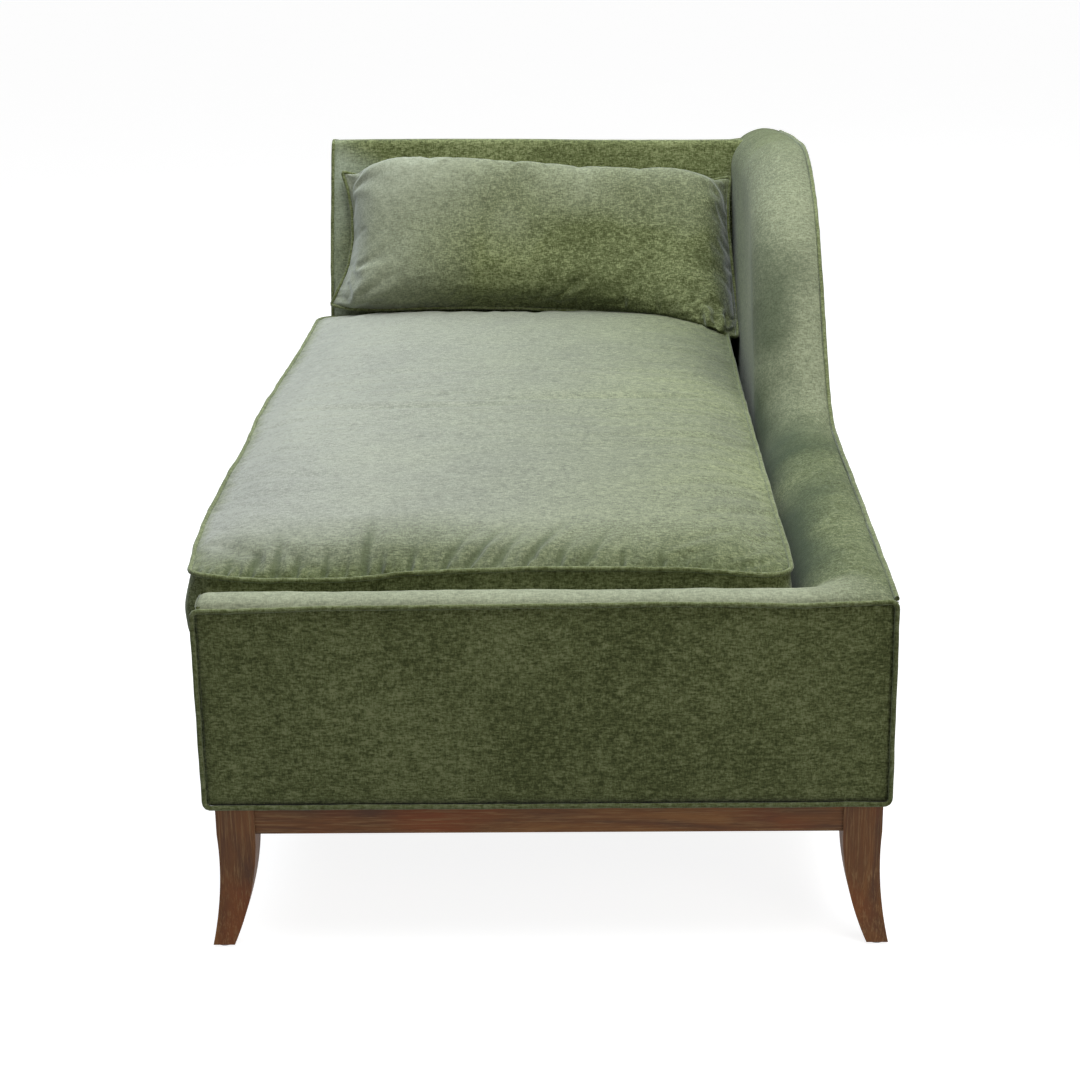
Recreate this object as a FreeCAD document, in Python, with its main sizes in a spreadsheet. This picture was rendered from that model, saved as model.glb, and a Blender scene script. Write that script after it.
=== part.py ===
"""Chaise longue with one sweeping arm, a loose box seat cushion and a loose lumbar pillow.

Millimetres, +Z up. +X points to the arm, +Y from the foot end to the back.
The origin is on the floor, below the middle of the whole piece.
"""
import FreeCAD, Part
import math
import os
import re

Vector = FreeCAD.Vector
os.makedirs("parts", exist_ok=True)
doc = FreeCAD.newDocument("ChaiseLongue")

# Driving dimensions, one row each: name, millimetres or degrees or a count, meaning
SIZES = {
    "body_width": (840, "upholstered body, side to side"),
    "body_bottom": (190, "underside of the upholstered body above the floor"),
    "seat_length": (1550, "front of the footboard to the back, at sitting height"),
    "sitting_height": (470, "height at which the seat length is taken"),
    "fabric": (2.5, "thickness of the cover fabric"),
    "wadding": (7.5, "wadding between the frame and the cover"),
    "board": (18, "plywood side and end panels"),
    "rail": (25, "thickness of the hardwood rails and posts"),
    "rail_height": (154, "height of the seat rails"),
    "dust_cloth": (1, "black cloth under the seat"),
    "strap": (2, "thickness of the webbing"),
    "strap_width": (60, "width of the webbing"),
    "seat_straps": (11, "count of straps under the seat"),
    "back_straps": (5, "count of straps in the back"),
    "deck_pad_height": (27, "foam under the deck cloth"),
    "tuck_gap": (5, "slot above the rails, where covers are pulled through"),
    "footboard_height": (450, "front top edge of the footboard"),
    "footboard_depth": (70, "footboard, front to back"),
    "footboard_roll": (40, "drop of the footboard's rounded inner edge"),
    "footboard_cap": (26, "padding over the footboard's panel"),
    "arm_depth": (110, "arm, outer face to inner face"),
    "arm_roll": (70, "drop of the arm's rounded inner edge"),
    "arm_cap": (25, "padding over the arm's panel"),
    "arm_rise_start": (766, "where the low arm would meet the rising line"),
    "arm_low_height": (463, "arm edge at the start of the rise"),
    "arm_rise_end": (1106, "where the rising line would meet the high arm"),
    "arm_high_height": (814, "arm edge where those two lines would meet"),
    "arm_end_height": (772, "arm edge at the rear"),
    "arm_low_radius": (180, "hollow bend at the foot of the rise"),
    "arm_high_radius": (420, "rounded bend at the top of the rise"),
    "arm_steps": (4, "count of bands round each of those bends"),
    "back_height": (772, "top of the back"),
    "back_slant": (15.9, "lean of the back's inner face, degrees"),
    "outer_slant": (5, "lean of the back's outer face, degrees"),
    "back_top_depth": (78, "back, front to rear, at its top"),
    "back_edge": (18, "radius of the back's top front edge"),
    "back_foam": (42, "foam in front of the back's webbing"),
    "saddle": (60, "top of the back, past the arm's inner face to where it meets the arm's roll"),
    "back_rail_height": (60, "height of the back's rails"),
    "back_top_rail": (23, "thickness of the back's top rail"),
    "brace_height": (108, "height of the seat's cross brace"),
    "base_inset": (8.5, "legs behind the upholstered faces"),
    "apron_setback": (3, "apron behind the faces of the legs"),
    "apron": (22, "thickness of the apron rails"),
    "apron_height": (43, "height of the apron rails"),
    "leg_width": (48, "leg at its top"),
    "foot_width": (27, "leg at the floor"),
    "side_flare": (10, "outward sweep of the foot, sideways"),
    "end_flare": (16, "outward sweep of the foot, lengthways"),
    "leg_hollow": (5.3, "hollow of the leg's outer face, between knee and foot"),
    "glide": (20, "diameter of the nail glides"),
    "glide_height": (3, "thickness of the nail glides"),
    "bolt": (8, "leg frame bolts"),
    "bolt_head": (14, "head of the leg frame bolts"),
    "bolt_head_height": (5.5, "head height of the leg frame bolts"),
    "bolt_along": (60, "bolt from the apron's corner, sideways"),
    "bolt_across": (40, "bolt from the apron's corner, lengthways"),
    "bolt_reach": (28, "bolt above the underside of the body"),
    "base_block": (130, "leg of the apron's corner blocks"),
    "seat_block": (120, "leg of the seat frame's corner blocks"),
    "block_height": (40, "height of the corner blocks"),
    "welt": (9, "diameter of the piped seams"),
    "welt_sides": (8, "count of flats round a piped seam"),
    "welt_bend": (11, "bend of a piped seam round a corner"),
    "seam_gap": (0.4, "piping to the cushion cover beside it"),
    "soft_gap": (0.5, "air between a loose cushion and what it rests on"),
    "cushion_overhang": (22, "seat cushion past the open side"),
    "cushion_side_gap": (8, "seat cushion to the arm"),
    "cushion_back_gap": (4.5, "seat cushion to the back"),
    "cushion_boxing": (88, "seat cushion, side height"),
    "cushion_crown": (25, "rise of the cushion's top above its seam"),
    "cushion_corner": (34, "plan radius of the cushion's corners"),
    "cushion_ridge": (10, "corner radius below which the cushion's crown is cut straight"),
    "cushion_draw": (5, "sides of the cushion drawn in between corners"),
    "side_cuts": (3, "count of straight cuts along each drawn-in side of a cushion"),
    "corner_cuts": (2, "count of straight cuts round a cushion's corner"),
    "cushion_seam_in": (2, "seat cushion's piped seam, inside its widest outline"),
    "cushion_core": (60, "foam core in the cushion"),
    "fill_wrap": (45, "soft filling round the foam core"),
    "pillow_side_gap": (9, "lumbar pillow to the arm, and to the open side"),
    "pillow_height": (268, "lumbar pillow, seam to seam"),
    "pillow_half": (70, "lumbar pillow, seam to crown"),
    "pillow_slope": (100, "pillow's seam to the flat of its crown, in plan"),
    "pillow_steps": (3, "count of bands from the pillow's seam to its crown"),
    "pillow_corner": (6, "radius of the pillow's ears, inside the piping"),
    "pillow_side_draw": (12, "short sides drawn in"),
    "pillow_long_draw": (9, "long sides drawn in"),
    "pillow_slant": (22, "lean of the pillow, degrees"),
    "pillow_rise": (22.7, "pillow's lower seam above the seat cushion's seam"),
    "pillow_forward": (86.7, "pillow's lower seam in front of the back, at sitting height"),
    "zip_length": (560, "zip in the back of the seat cushion"),
    "zip_width": (26, "tape of the zip"),
    "zip_depth": (1.6, "thickness of the zip"),
    "slider_length": (14, "zip slider, along the zip"),
    "slider_width": (9, "zip slider, across the zip"),
    "slider_depth": (4, "zip slider, thickness"),
}

# Values worked out from the driving dimensions, as formulas
DERIVED = {
    "left": "cushion_overhang + welt / 2 - (body_width + cushion_overhang + welt * 3 / 2) / 2",
    "right": "left + body_width",
    "outer_run": "seat_length + (back_height - sitting_height) * tan(back_slant) + back_top_depth",
    "front": "welt - (outer_run + welt * 2) / 2",
    "pad_in": "fabric + wadding",
    "panel_in": "pad_in + board",
    "frame_bottom": "body_bottom + dust_cloth",
    "rail_top": "frame_bottom + rail_height",
    "tuck": "rail_top + tuck_gap",
    "strap_top": "rail_top + strap",
    "pad_top": "strap_top + deck_pad_height",
    "deck": "pad_top + fabric",
    "arm_inner": "right - arm_depth",
    "arm_frame": "right - panel_in",
    "frame_left": "left + pad_in",
    "front_frame": "front + panel_in",
    "foot_inner": "front + footboard_depth",
    "frame_back": "front + outer_run - (back_height - body_bottom) * tan(outer_slant) - pad_in",
    "back_frame_top": "back_height - fabric - arm_cap",
    "base_left": "left + base_inset",
    "base_right": "right - base_inset",
    "base_front": "front + base_inset",
    "base_back": "frame_back + pad_in - base_inset",
    "apron_bottom": "body_bottom - apron_height",
    "apron_in": "apron_setback + apron",
    "deck_back": "front + seat_length + (tuck - sitting_height) * tan(back_slant)",
    "cushion_bottom": "deck + soft_gap",
    "cushion_left": "left - cushion_overhang",
    "cushion_right": "arm_inner - cushion_side_gap",
    "cushion_front": "foot_inner + soft_gap",
    "cushion_back": "front + seat_length + (cushion_bottom - sitting_height) * tan(back_slant) - cushion_back_gap",
    "seam_height": "cushion_bottom + cushion_boxing",
    "pillow_width": "arm_inner - left - 2 * pillow_side_gap",
}

sheet = doc.addObject("Spreadsheet::Sheet", "Sizes")
for row, (alias, (value, meaning)) in enumerate(SIZES.items(), start=1):
    sheet.set(f"A{row}", meaning)
    sheet.set(f"B{row}", str(value))
    sheet.setAlias(f"B{row}", alias)
doc.recompute()


def expand(text):
    """Turn a formula of size names into one that reads the spreadsheet."""
    def swap(match):
        word = match.group(0)
        if word in DERIVED:
            return "(" + expand(DERIVED[word]) + ")"
        return "Sizes." + word if word in SIZES else word
    return re.sub(r"[a-z][a-z_0-9]*", swap, str(text))


def size(text):
    """Number that a formula of sizes has now."""
    return float(sheet.evalExpression(expand(text)))


def bind(item, **formulas):
    """Bind properties of a document object to formulas of sizes."""
    for name, text in formulas.items():
        item.setExpression(name.replace("__", "."), expand(text))
    return item


def place(item, x="0", y="0", z="0"):
    """Bind where an object stands."""
    return bind(item, Placement__Base__x=x, Placement__Base__y=y, Placement__Base__z=z)


# General helpers for pieces

NODES = []


def keep(item, label):
    """Mark an object as a sub-part under its own label."""
    item.Label = label
    NODES.append(item)
    return item


def block(name, x, y, z, length, width, height):
    """Square-cut block whose lowest corner is at x, y, z."""
    item = doc.addObject("Part::Box", name)
    bind(item, Length=length, Width=width, Height=height)
    return place(item, x, y, z)


def rod(name, x, y, z, diameter, height):
    """Upright round bar."""
    item = doc.addObject("Part::Cylinder", name)
    bind(item, Radius=f"({diameter}) / 2", Height=height)
    return place(item, x, y, z)


def group(name, items):
    """Separate solids that share one node."""
    item = doc.addObject("Part::Compound", name)
    item.Links = items
    return item


def join(name, items):
    """One solid from several."""
    item = doc.addObject("Part::MultiFuse", name)
    item.Shapes = items
    item.Refine = True
    return item


def carve(name, base, tools):
    """Base with each tool taken away in turn."""
    for count, tool in enumerate(tools):
        cut = doc.addObject("Part::Cut", f"{name}_cut{count}")
        cut.Base = base
        cut.Tool = tool
        cut.Refine = True
        base = cut
    return base


def line(start, end):
    """Straight edge between two points of a sketch."""
    return Part.LineSegment(Vector(*start, 0), Vector(*end, 0))


def arc(start, middle, end):
    """Round edge through three points of a sketch."""
    return Part.Arc(Vector(*start, 0), Vector(*middle, 0), Vector(*end, 0))


def polygon(points):
    """Closed outline of straight edges."""
    return [line(points[i - 1], points[i]) for i in range(len(points))]


def plate(name, role, edges, thickness, **where):
    """Flat piece: an outline on one of its body's own planes, padded square to it."""
    body = doc.addObject("PartDesign::Body", name)
    sketch = body.newObject("Sketcher::SketchObject", name + "_outline")
    plane = next(item for item in body.Origin.OriginFeatures if item.Role == role)
    sketch.AttachmentSupport = [(plane, "")]
    sketch.MapMode = "FlatFace"
    sketch.addGeometry(edges, False)
    pad = body.newObject("PartDesign::Pad", name + "_pad")
    pad.Profile = sketch
    bind(pad, Length=thickness)
    return place(body, **where)


def free_sketch(name, edges, placement):
    """Sketch that stands on its own, as a section of a loft."""
    sketch = doc.addObject("Sketcher::SketchObject", name)
    sketch.addGeometry(edges, False)
    sketch.Placement = placement
    return sketch


def loft(name, sections):
    """Solid of straight bands through a row of section sketches."""
    item = doc.addObject("Part::Loft", name)
    item.Sections = sections
    item.Solid = True
    item.Ruled = True
    return item


def piping(name, edges, start, direction):
    """Piped seam along straight and round edges that join smoothly."""
    spine = doc.addObject("Part::Feature", name + "_route")
    spine.Shape = Part.Wire([edge.toShape() for edge in edges])
    ring = doc.addObject("Part::RegularPolygon", name + "_ring")
    ring.Polygon = int(size("welt_sides"))
    bind(ring, Circumradius="welt / 2")
    ring.Placement = FreeCAD.Placement(start, FreeCAD.Rotation(Vector(0, 0, 1), direction))
    item = doc.addObject("Part::Sweep", name)
    item.Sections = [ring]
    item.Spine = (spine, [f"Edge{count + 1}" for count in range(len(edges))])
    item.Solid = True
    return item


def bent_route(points, radii, closed=False):
    """Straight runs with a tangent round bend at each inner point, as (kind, points) pairs."""
    corners = [Vector(*point) for point in points]
    count = len(corners)
    turns = range(count) if closed else range(1, count - 1)
    bends = {}
    for i, radius in zip(turns, radii):
        before = (corners[i - 1] - corners[i]).normalize()
        after = (corners[(i + 1) % count] - corners[i]).normalize()
        half = before.getAngle(after) / 2
        reach = radius / math.tan(half)
        centre = corners[i] + (before + after).normalize() * (radius / math.sin(half))
        middle = centre + (corners[i] - centre).normalize() * radius
        bends[i] = (corners[i] + before * reach, middle, corners[i] + after * reach)
    pieces = []
    steps = count if closed else count - 1
    for i in range(steps):
        after = (i + 1) % count
        start = bends[i][2] if i in bends else corners[i]
        end = bends[after][0] if after in bends else corners[after]
        pieces.append(("line", (start, end)))
        if after in bends:
            pieces.append(("arc", bends[after]))
    return pieces


def route_edges(pieces):
    """Edges of a bent route."""
    return [Part.LineSegment(*spots) if kind == "line" else Part.Arc(*spots) for kind, spots in pieces]


def flat(vector):
    """A route's point, seen along X, as a point of a side sketch."""
    return (vector.y, vector.z)


def side_edges(pieces):
    """A route in a side plane, as edges of a sketch on that plane."""
    return [
        (line if kind == "line" else arc)(*[flat(spot) for spot in spots])
        for kind, spots in pieces
    ]


# Numbers used by the outlines

LEFT = size("left")
RIGHT = size("right")
FRONT = size("front")
BOTTOM = size("body_bottom")
FRAME_BOTTOM = size("frame_bottom")
FABRIC = size("fabric")
PAD_IN = size("pad_in")
DECK = size("deck")
TUCK = size("tuck")
SLANT = math.tan(math.radians(size("back_slant")))
OUTER_SLANT = math.tan(math.radians(size("outer_slant")))
BACK_TOP = size("back_height")
SPARE = 60


def back_face(height, inset=0):
    """How far back the back's inner face lies at a height, with an inset square to it."""
    lean = math.hypot(1, SLANT)
    return FRONT + size("seat_length") + (height - size("sitting_height")) * SLANT + inset * lean


def outer_face(height, inset=0):
    """How far back the back's outer face lies at a height."""
    return FRONT + size("outer_run") - (BACK_TOP - height) * OUTER_SLANT - inset


def back_edge(inset, low):
    """Front face, rounded top edge and top of the back, from low down to the rear."""
    top = BACK_TOP - inset
    points = [
        (0, back_face(low, inset), low),
        (0, back_face(top, inset), top),
        (0, outer_face(top, FABRIC), top),
    ]
    return bent_route(points, [size("back_edge") - inset])


def rear_wedge():
    """Everything behind the inside of the outer back cover."""
    low = BOTTOM - SPARE
    high = BACK_TOP + 3 * SPARE
    outline = polygon([
        (outer_face(low, FABRIC), low),
        (outer_face(high, FABRIC), high),
        (outer_face(high) + SPARE, high),
        (outer_face(high) + SPARE, low),
    ])
    return plate("rear_wedge", "YZ_Plane", outline, f"body_width + {2 * SPARE}", x=f"left - {SPARE}")


# Leg frame

def sabre_edges(flare, outward):
    """Side view of a sabre leg; outward is 1 or -1, and 0 is the upright outer face."""
    width = size("leg_width")
    foot = size("foot_width")
    knee = size("apron_bottom")
    low = size("glide_height")
    drop = knee - low
    hollow = size("leg_hollow")
    swing = foot - flare
    inner_radius = ((width - swing) ** 2 + drop ** 2) / (2 * (width - swing))
    inner_turn = math.asin(drop / inner_radius) / 2
    inner_middle = (
        -width + inner_radius * (1 - math.cos(inner_turn)),
        knee - inner_radius * math.sin(inner_turn),
    )
    points = [
        (0, BOTTOM), (0, knee), (flare / 2 - hollow, (knee + low) / 2), (flare, low),
        (-swing, low), inner_middle, (-width, knee), (-width, BOTTOM),
    ]
    spots = [(outward * across, up) for across, up in points]
    return [
        line(spots[0], spots[1]),
        arc(spots[1], spots[2], spots[3]),
        line(spots[3], spots[4]),
        arc(spots[4], spots[5], spots[6]),
        line(spots[6], spots[7]),
        line(spots[7], spots[0]),
    ]


CORNERS = {
    "front_left": ("base_left", "base_front", -1, -1),
    "front_right": ("base_right", "base_front", 1, -1),
    "back_left": ("base_left", "base_back", -1, 1),
    "back_right": ("base_right", "base_back", 1, 1),
}


def sabre_leg(corner):
    """Leg sawn to a sabre curve in both directions."""
    x, y, sideways, lengthways = CORNERS[corner]
    name = "leg_" + corner
    reach = "2 * (leg_width + end_flare + side_flare)"
    views = []
    for view, flare, outward, turn in (
        ("front_view", "side_flare", sideways, FreeCAD.Rotation(Vector(1, 0, 0), 90)),
        ("side_view", "end_flare", lengthways, FreeCAD.Rotation(Vector(1, 1, 1), 120)),
    ):
        sketch = free_sketch(f"{name}_{view}", sabre_edges(size(flare), outward), FreeCAD.Placement(Vector(), turn))
        bar = doc.addObject("Part::Extrusion", f"{name}_{view}_bar")
        bar.Base = sketch
        bar.DirMode = "Normal"
        bar.Solid = True
        bar.Symmetric = True
        bind(bar, LengthFwd=reach)
        views.append(bar)
    leg = doc.addObject("Part::Common", name)
    leg.Base, leg.Tool = views
    place(leg, x, y)
    return keep(leg, name)


def glides():
    """Nail glide under each foot."""
    discs = []
    for corner, (x, y, sideways, lengthways) in CORNERS.items():
        discs.append(rod(
            "glide_" + corner,
            f"{x} + {sideways} * (side_flare - foot_width / 2)",
            f"{y} + {lengthways} * (end_flare - foot_width / 2)",
            "0", "glide", "glide_height",
        ))
    keep(group("foot_glides", discs), "foot_glides")


def apron_rails():
    """Exposed wooden rails between the legs."""
    inner = "(2 * leg_width)"
    width = f"base_right - base_left - {inner}"
    run = f"base_back - base_front - {inner}"
    rails = {
        "front": ("base_left + leg_width", "base_front + apron_setback", width, "apron"),
        "back": ("base_left + leg_width", "base_back - apron_in", width, "apron"),
        "left": ("base_left + apron_setback", "base_front + leg_width", "apron", run),
        "right": ("base_right - apron_in", "base_front + leg_width", "apron", run),
    }
    for side, (x, y, length, depth) in rails.items():
        rail = block("apron_rail_" + side, x, y, "apron_bottom", length, depth, "apron_height")
        keep(rail, "apron_rail_" + side)


def bolt_place(corner):
    """Formulas for the place of a corner's bolt."""
    x, y, sideways, lengthways = CORNERS[corner]
    return (
        f"{x} - {sideways} * (apron_in + bolt_along)",
        f"{y} - {lengthways} * (apron_in + bolt_across)",
    )


def corner_block(name, leg, notch_x, notch_y, height, corner, x, y, z):
    """Glue block across a corner, notched round what stands in the corner, drilled for its bolt."""
    sideways, lengthways = CORNERS[corner][2:]
    outline = [(notch_x, 0), (leg, 0), (0, leg), (0, notch_y), (notch_x, notch_y)]
    if notch_x <= 0 or notch_y <= 0:
        outline = [(0, 0), (leg, 0), (0, leg)]
    spots = [(-sideways * a, -lengthways * b) for a, b in outline]
    solid = plate(name + "_blank", "XY_Plane", polygon(spots), height, x=x, y=y, z=z)
    across, along = bolt_place(corner)
    hole = rod(name + "_hole", across, along, f"{z} - 1", "bolt", "bolt_reach + apron_height")
    return carve(name, solid, [hole])


def base_blocks():
    """Corner blocks behind the legs, which carry the bolts."""
    notch = size("leg_width - apron_in")
    blocks = []
    for corner, (x, y, sideways, lengthways) in CORNERS.items():
        blocks.append(corner_block(
            "base_block_" + corner, size("base_block"), notch, notch, "block_height", corner,
            f"{x} - {sideways} * apron_in", f"{y} - {lengthways} * apron_in", "body_bottom - block_height",
        ))
    keep(group("base_corner_blocks", blocks), "base_corner_blocks")


def leg_frame_bolts():
    """Bolts that hold the leg frame to the seat frame."""
    bolts = []
    for corner in CORNERS:
        x, y = bolt_place(corner)
        low = "body_bottom - block_height"
        head = doc.addObject("Part::Prism", "bolt_head_" + corner)
        head.Polygon = 6
        bind(head, Circumradius="bolt_head / 2", Height="bolt_head_height")
        place(head, x, y, f"{low} - bolt_head_height")
        shank = rod("bolt_shank_" + corner, x, y, low, "bolt", "block_height + bolt_reach")
        bolts.append(join("bolt_" + corner, [head, shank]))
    keep(group("leg_frame_bolts", bolts), "leg_frame_bolts")


# Seat frame

def seat_frame():
    """Rails, cross brace and corner blocks inside the upholstered body."""
    height = "rail_height"
    run = "frame_back - front_frame"
    keep(block("seat_rail_left", "frame_left", "front_frame", "frame_bottom", "rail", run, height),
         "seat_rail_left")
    keep(block("seat_rail_right", "arm_frame - rail", "front_frame", "frame_bottom", "rail", run, height),
         "seat_rail_right")
    inside = "arm_frame - frame_left - 2 * rail"
    keep(block("seat_rail_front", "frame_left + rail", "front_frame", "frame_bottom", inside, "rail", height),
         "seat_rail_front")
    keep(block("seat_rail_back", "frame_left + 2 * rail", "frame_back - rail", "frame_bottom",
               f"{inside} - 2 * rail", "rail", height), "seat_rail_back")
    keep(block("seat_cross_brace", "frame_left + rail", "(front_frame + frame_back - rail) / 2",
               "frame_bottom", inside, "rail", "brace_height"), "seat_cross_brace")
    blocks = []
    for corner, (x, y, sideways, lengthways) in CORNERS.items():
        post = "0 * rail" if lengthways < 0 else "rail"
        edge_x = f"frame_left + rail + {post}" if sideways < 0 else f"arm_frame - rail - {post}"
        edge_y = "front_frame + rail" if lengthways < 0 else "frame_back - rail"
        blocks.append(corner_block(
            "seat_block_" + corner, size("seat_block"), 0, 0, "block_height", corner,
            edge_x, edge_y, "frame_bottom",
        ))
    keep(group("seat_corner_blocks", blocks), "seat_corner_blocks")


def seat_straps():
    """Webbing across the seat, fixed on top of the side rails."""
    count = int(size("seat_straps"))
    straps = []
    for number in range(count):
        y = f"foot_inner + (cushion_back - foot_inner) * {number + 0.5} / {count} - strap_width / 2"
        straps.append(block(
            f"seat_strap_{number + 1}", "frame_left", y, "rail_top",
            "arm_frame - frame_left", "strap_width", "strap",
        ))
    keep(group("seat_webbing", straps), "seat_webbing")


def deck():
    """Foam deck over the webbing, and the cloth over it."""
    depth = "deck_back - foot_inner"
    keep(block("deck_pad", "frame_left", "foot_inner", "strap_top",
               "arm_inner - frame_left", depth, "deck_pad_height"), "deck_pad")
    keep(block("deck_cover", "frame_left", "foot_inner", "pad_top",
               "arm_inner - frame_left", depth, "fabric"), "deck_cover")


def dust_cover():
    """Cloth under the seat frame, with holes for the bolts."""
    cloth = block("dust_cloth_blank", "left + fabric", "front + fabric", "body_bottom",
                  "body_width - 2 * fabric", "frame_back + wadding - front - fabric", "dust_cloth")
    holes = []
    for corner in CORNERS:
        x, y = bolt_place(corner)
        holes.append(rod("dust_hole_" + corner, x, y, "body_bottom - 1", "bolt", "dust_cloth + 2"))
    return keep(carve("dust_cover", cloth, holes), "dust_cover")


# Back frame

def raked_bar(name, low, high, depth, x, length):
    """Rail that follows the lean of the back."""
    inset = size("fabric + back_foam + strap")
    front_low = back_face(low, inset)
    front_high = back_face(high, inset)
    outline = polygon([
        (front_low, low), (front_high, high), (front_high + depth, high), (front_low + depth, low),
    ])
    return keep(plate(name, "YZ_Plane", outline, length, x=x), name)


def back_frame():
    """Wedge-shaped posts, two rails and upright webbing."""
    inset = size("fabric + back_foam + strap")
    top = size("back_frame_top")
    outline = polygon([
        (back_face(FRAME_BOTTOM, inset), FRAME_BOTTOM),
        (back_face(top, inset), top),
        (outer_face(top, PAD_IN), top),
        (outer_face(FRAME_BOTTOM, PAD_IN), FRAME_BOTTOM),
    ])
    posts = {"back_post_left": "frame_left + rail", "back_post_right": "arm_frame - 2 * rail"}
    for name, x in posts.items():
        keep(plate(name, "YZ_Plane", outline, "rail", x=x), name)
    left = "frame_left + 2 * rail"
    length = "arm_frame - frame_left - 4 * rail"
    height = size("back_rail_height")
    rails = (
        raked_bar("back_top_rail", top - height, top, size("back_top_rail"), left, length),
        raked_bar("back_lower_rail", DECK, DECK + height, size("rail"), left, length),
    )
    straps = []
    count = int(size("back_straps"))
    strap_inset = size("fabric + back_foam")
    reach = f"(arm_inner - ({left}))"
    for number in range(count):
        face = [
            (back_face(DECK, strap_inset), DECK),
            (back_face(top, strap_inset), top),
            (back_face(top, inset), top),
            (back_face(DECK, inset), DECK),
        ]
        x = f"{left} + {reach} * {number + 0.5} / {count} - strap_width / 2"
        straps.append(plate(f"back_strap_{number + 1}", "YZ_Plane", polygon(face), "strap_width", x=x))
    keep(group("back_webbing", straps), "back_webbing")
    return rails


def back_hollow_outline():
    """Space between the webbing and the outer wadding of the back."""
    inset = size("fabric + back_foam")
    top = size("back_frame_top")
    low = FRAME_BOTTOM - SPARE
    return [
        (back_face(low, inset), low),
        (back_face(top, inset), top),
        (outer_face(top, PAD_IN), top),
        (outer_face(low, PAD_IN), low),
    ]


def back_padding(arm_outer):
    """Foam in front of the webbing, over the top rail and thin behind it."""
    front_edge = back_edge(FABRIC, TUCK)
    top = BACK_TOP - FABRIC
    hollow = back_hollow_outline()
    inset = size("fabric + back_foam")
    outline = side_edges(front_edge) + [
        line((outer_face(top, FABRIC), top), (outer_face(FRAME_BOTTOM, FABRIC), FRAME_BOTTOM)),
        line((outer_face(FRAME_BOTTOM, FABRIC), FRAME_BOTTOM), (outer_face(FRAME_BOTTOM, PAD_IN), FRAME_BOTTOM)),
        line((outer_face(FRAME_BOTTOM, PAD_IN), FRAME_BOTTOM), hollow[2]),
        line(hollow[2], hollow[1]),
        line(hollow[1], (back_face(TUCK, inset), TUCK)),
        line((back_face(TUCK, inset), TUCK), (back_face(TUCK, FABRIC), TUCK)),
    ]
    blank = plate("back_padding_blank", "YZ_Plane", outline, "arm_inner + saddle - frame_left", x="frame_left")
    keep(carve("back_padding", blank, [arm_outer]), "back_padding")


def back_side_outline(inset, low_front, low_back):
    """Side view of the back."""
    top = BACK_TOP - inset
    return side_edges(back_edge(inset, low_front)) + [
        line((outer_face(top, FABRIC), top), (outer_face(low_back, FABRIC), low_back)),
    ]


def side_padding():
    """Wadding on the open side, under the seat's edge and beside the back."""
    low_front = (back_face(FRAME_BOTTOM, FABRIC), FRAME_BOTTOM)
    low_rear = (outer_face(FRAME_BOTTOM, FABRIC), FRAME_BOTTOM)
    outline = back_side_outline(FABRIC, FRAME_BOTTOM, FRAME_BOTTOM) + [line(low_rear, low_front)]
    keep(plate("back_side_padding", "YZ_Plane", outline, "wadding", x="left + fabric"), "back_side_padding")
    seat = polygon([
        (size("foot_inner"), FRAME_BOTTOM),
        (size("foot_inner"), DECK - FABRIC),
        (back_face(DECK - FABRIC), DECK - FABRIC),
        (back_face(FRAME_BOTTOM), FRAME_BOTTOM),
    ])
    keep(plate("seat_side_padding", "YZ_Plane", seat, "wadding", x="left + fabric"), "seat_side_padding")


def roll_arc(inset):
    """Rounded top of the footboard, as seen from the side: three points."""
    depth = size("footboard_depth") - 2 * inset
    return [(FRONT + inset + across, up) for across, up in roll_points(depth, size("footboard_roll"),
                                                                      size("footboard_height") - inset)]


def roll_circle(depth, roll, top):
    """Circle of a rolled edge, from the outer edge inward: centre and radius."""
    radius = (depth ** 2 + roll ** 2) / (2 * depth)
    return (depth - radius, top - roll), radius


def roll_points(depth, roll, top):
    """Arc from a top outer edge to an upright inner face: start, middle and end."""
    centre, radius = roll_circle(depth, roll, top)
    start_angle = math.atan2(roll, -centre[0])
    middle = (
        centre[0] + radius * math.cos(start_angle / 2),
        centre[1] + radius * math.sin(start_angle / 2),
    )
    return [(0, top), middle, (depth, top - roll)]


def left_side_cover():
    """One cloth over the whole open side: end of the footboard, seat edge and side of the back."""
    start, middle, end = roll_arc(0)
    foot_deck = (size("foot_inner"), DECK)
    back_deck = (back_face(DECK), DECK)
    low_rear = (outer_face(BOTTOM, FABRIC), BOTTOM)
    outline = [
        line((FRONT, BOTTOM), start),
        arc(start, middle, end),
        line(end, foot_deck),
        line(foot_deck, back_deck),
    ] + back_side_outline(0, DECK, BOTTOM) + [line(low_rear, (FRONT, BOTTOM))]
    keep(plate("left_side_cover", "YZ_Plane", outline, "fabric", x="left"), "left_side_cover")


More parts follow.
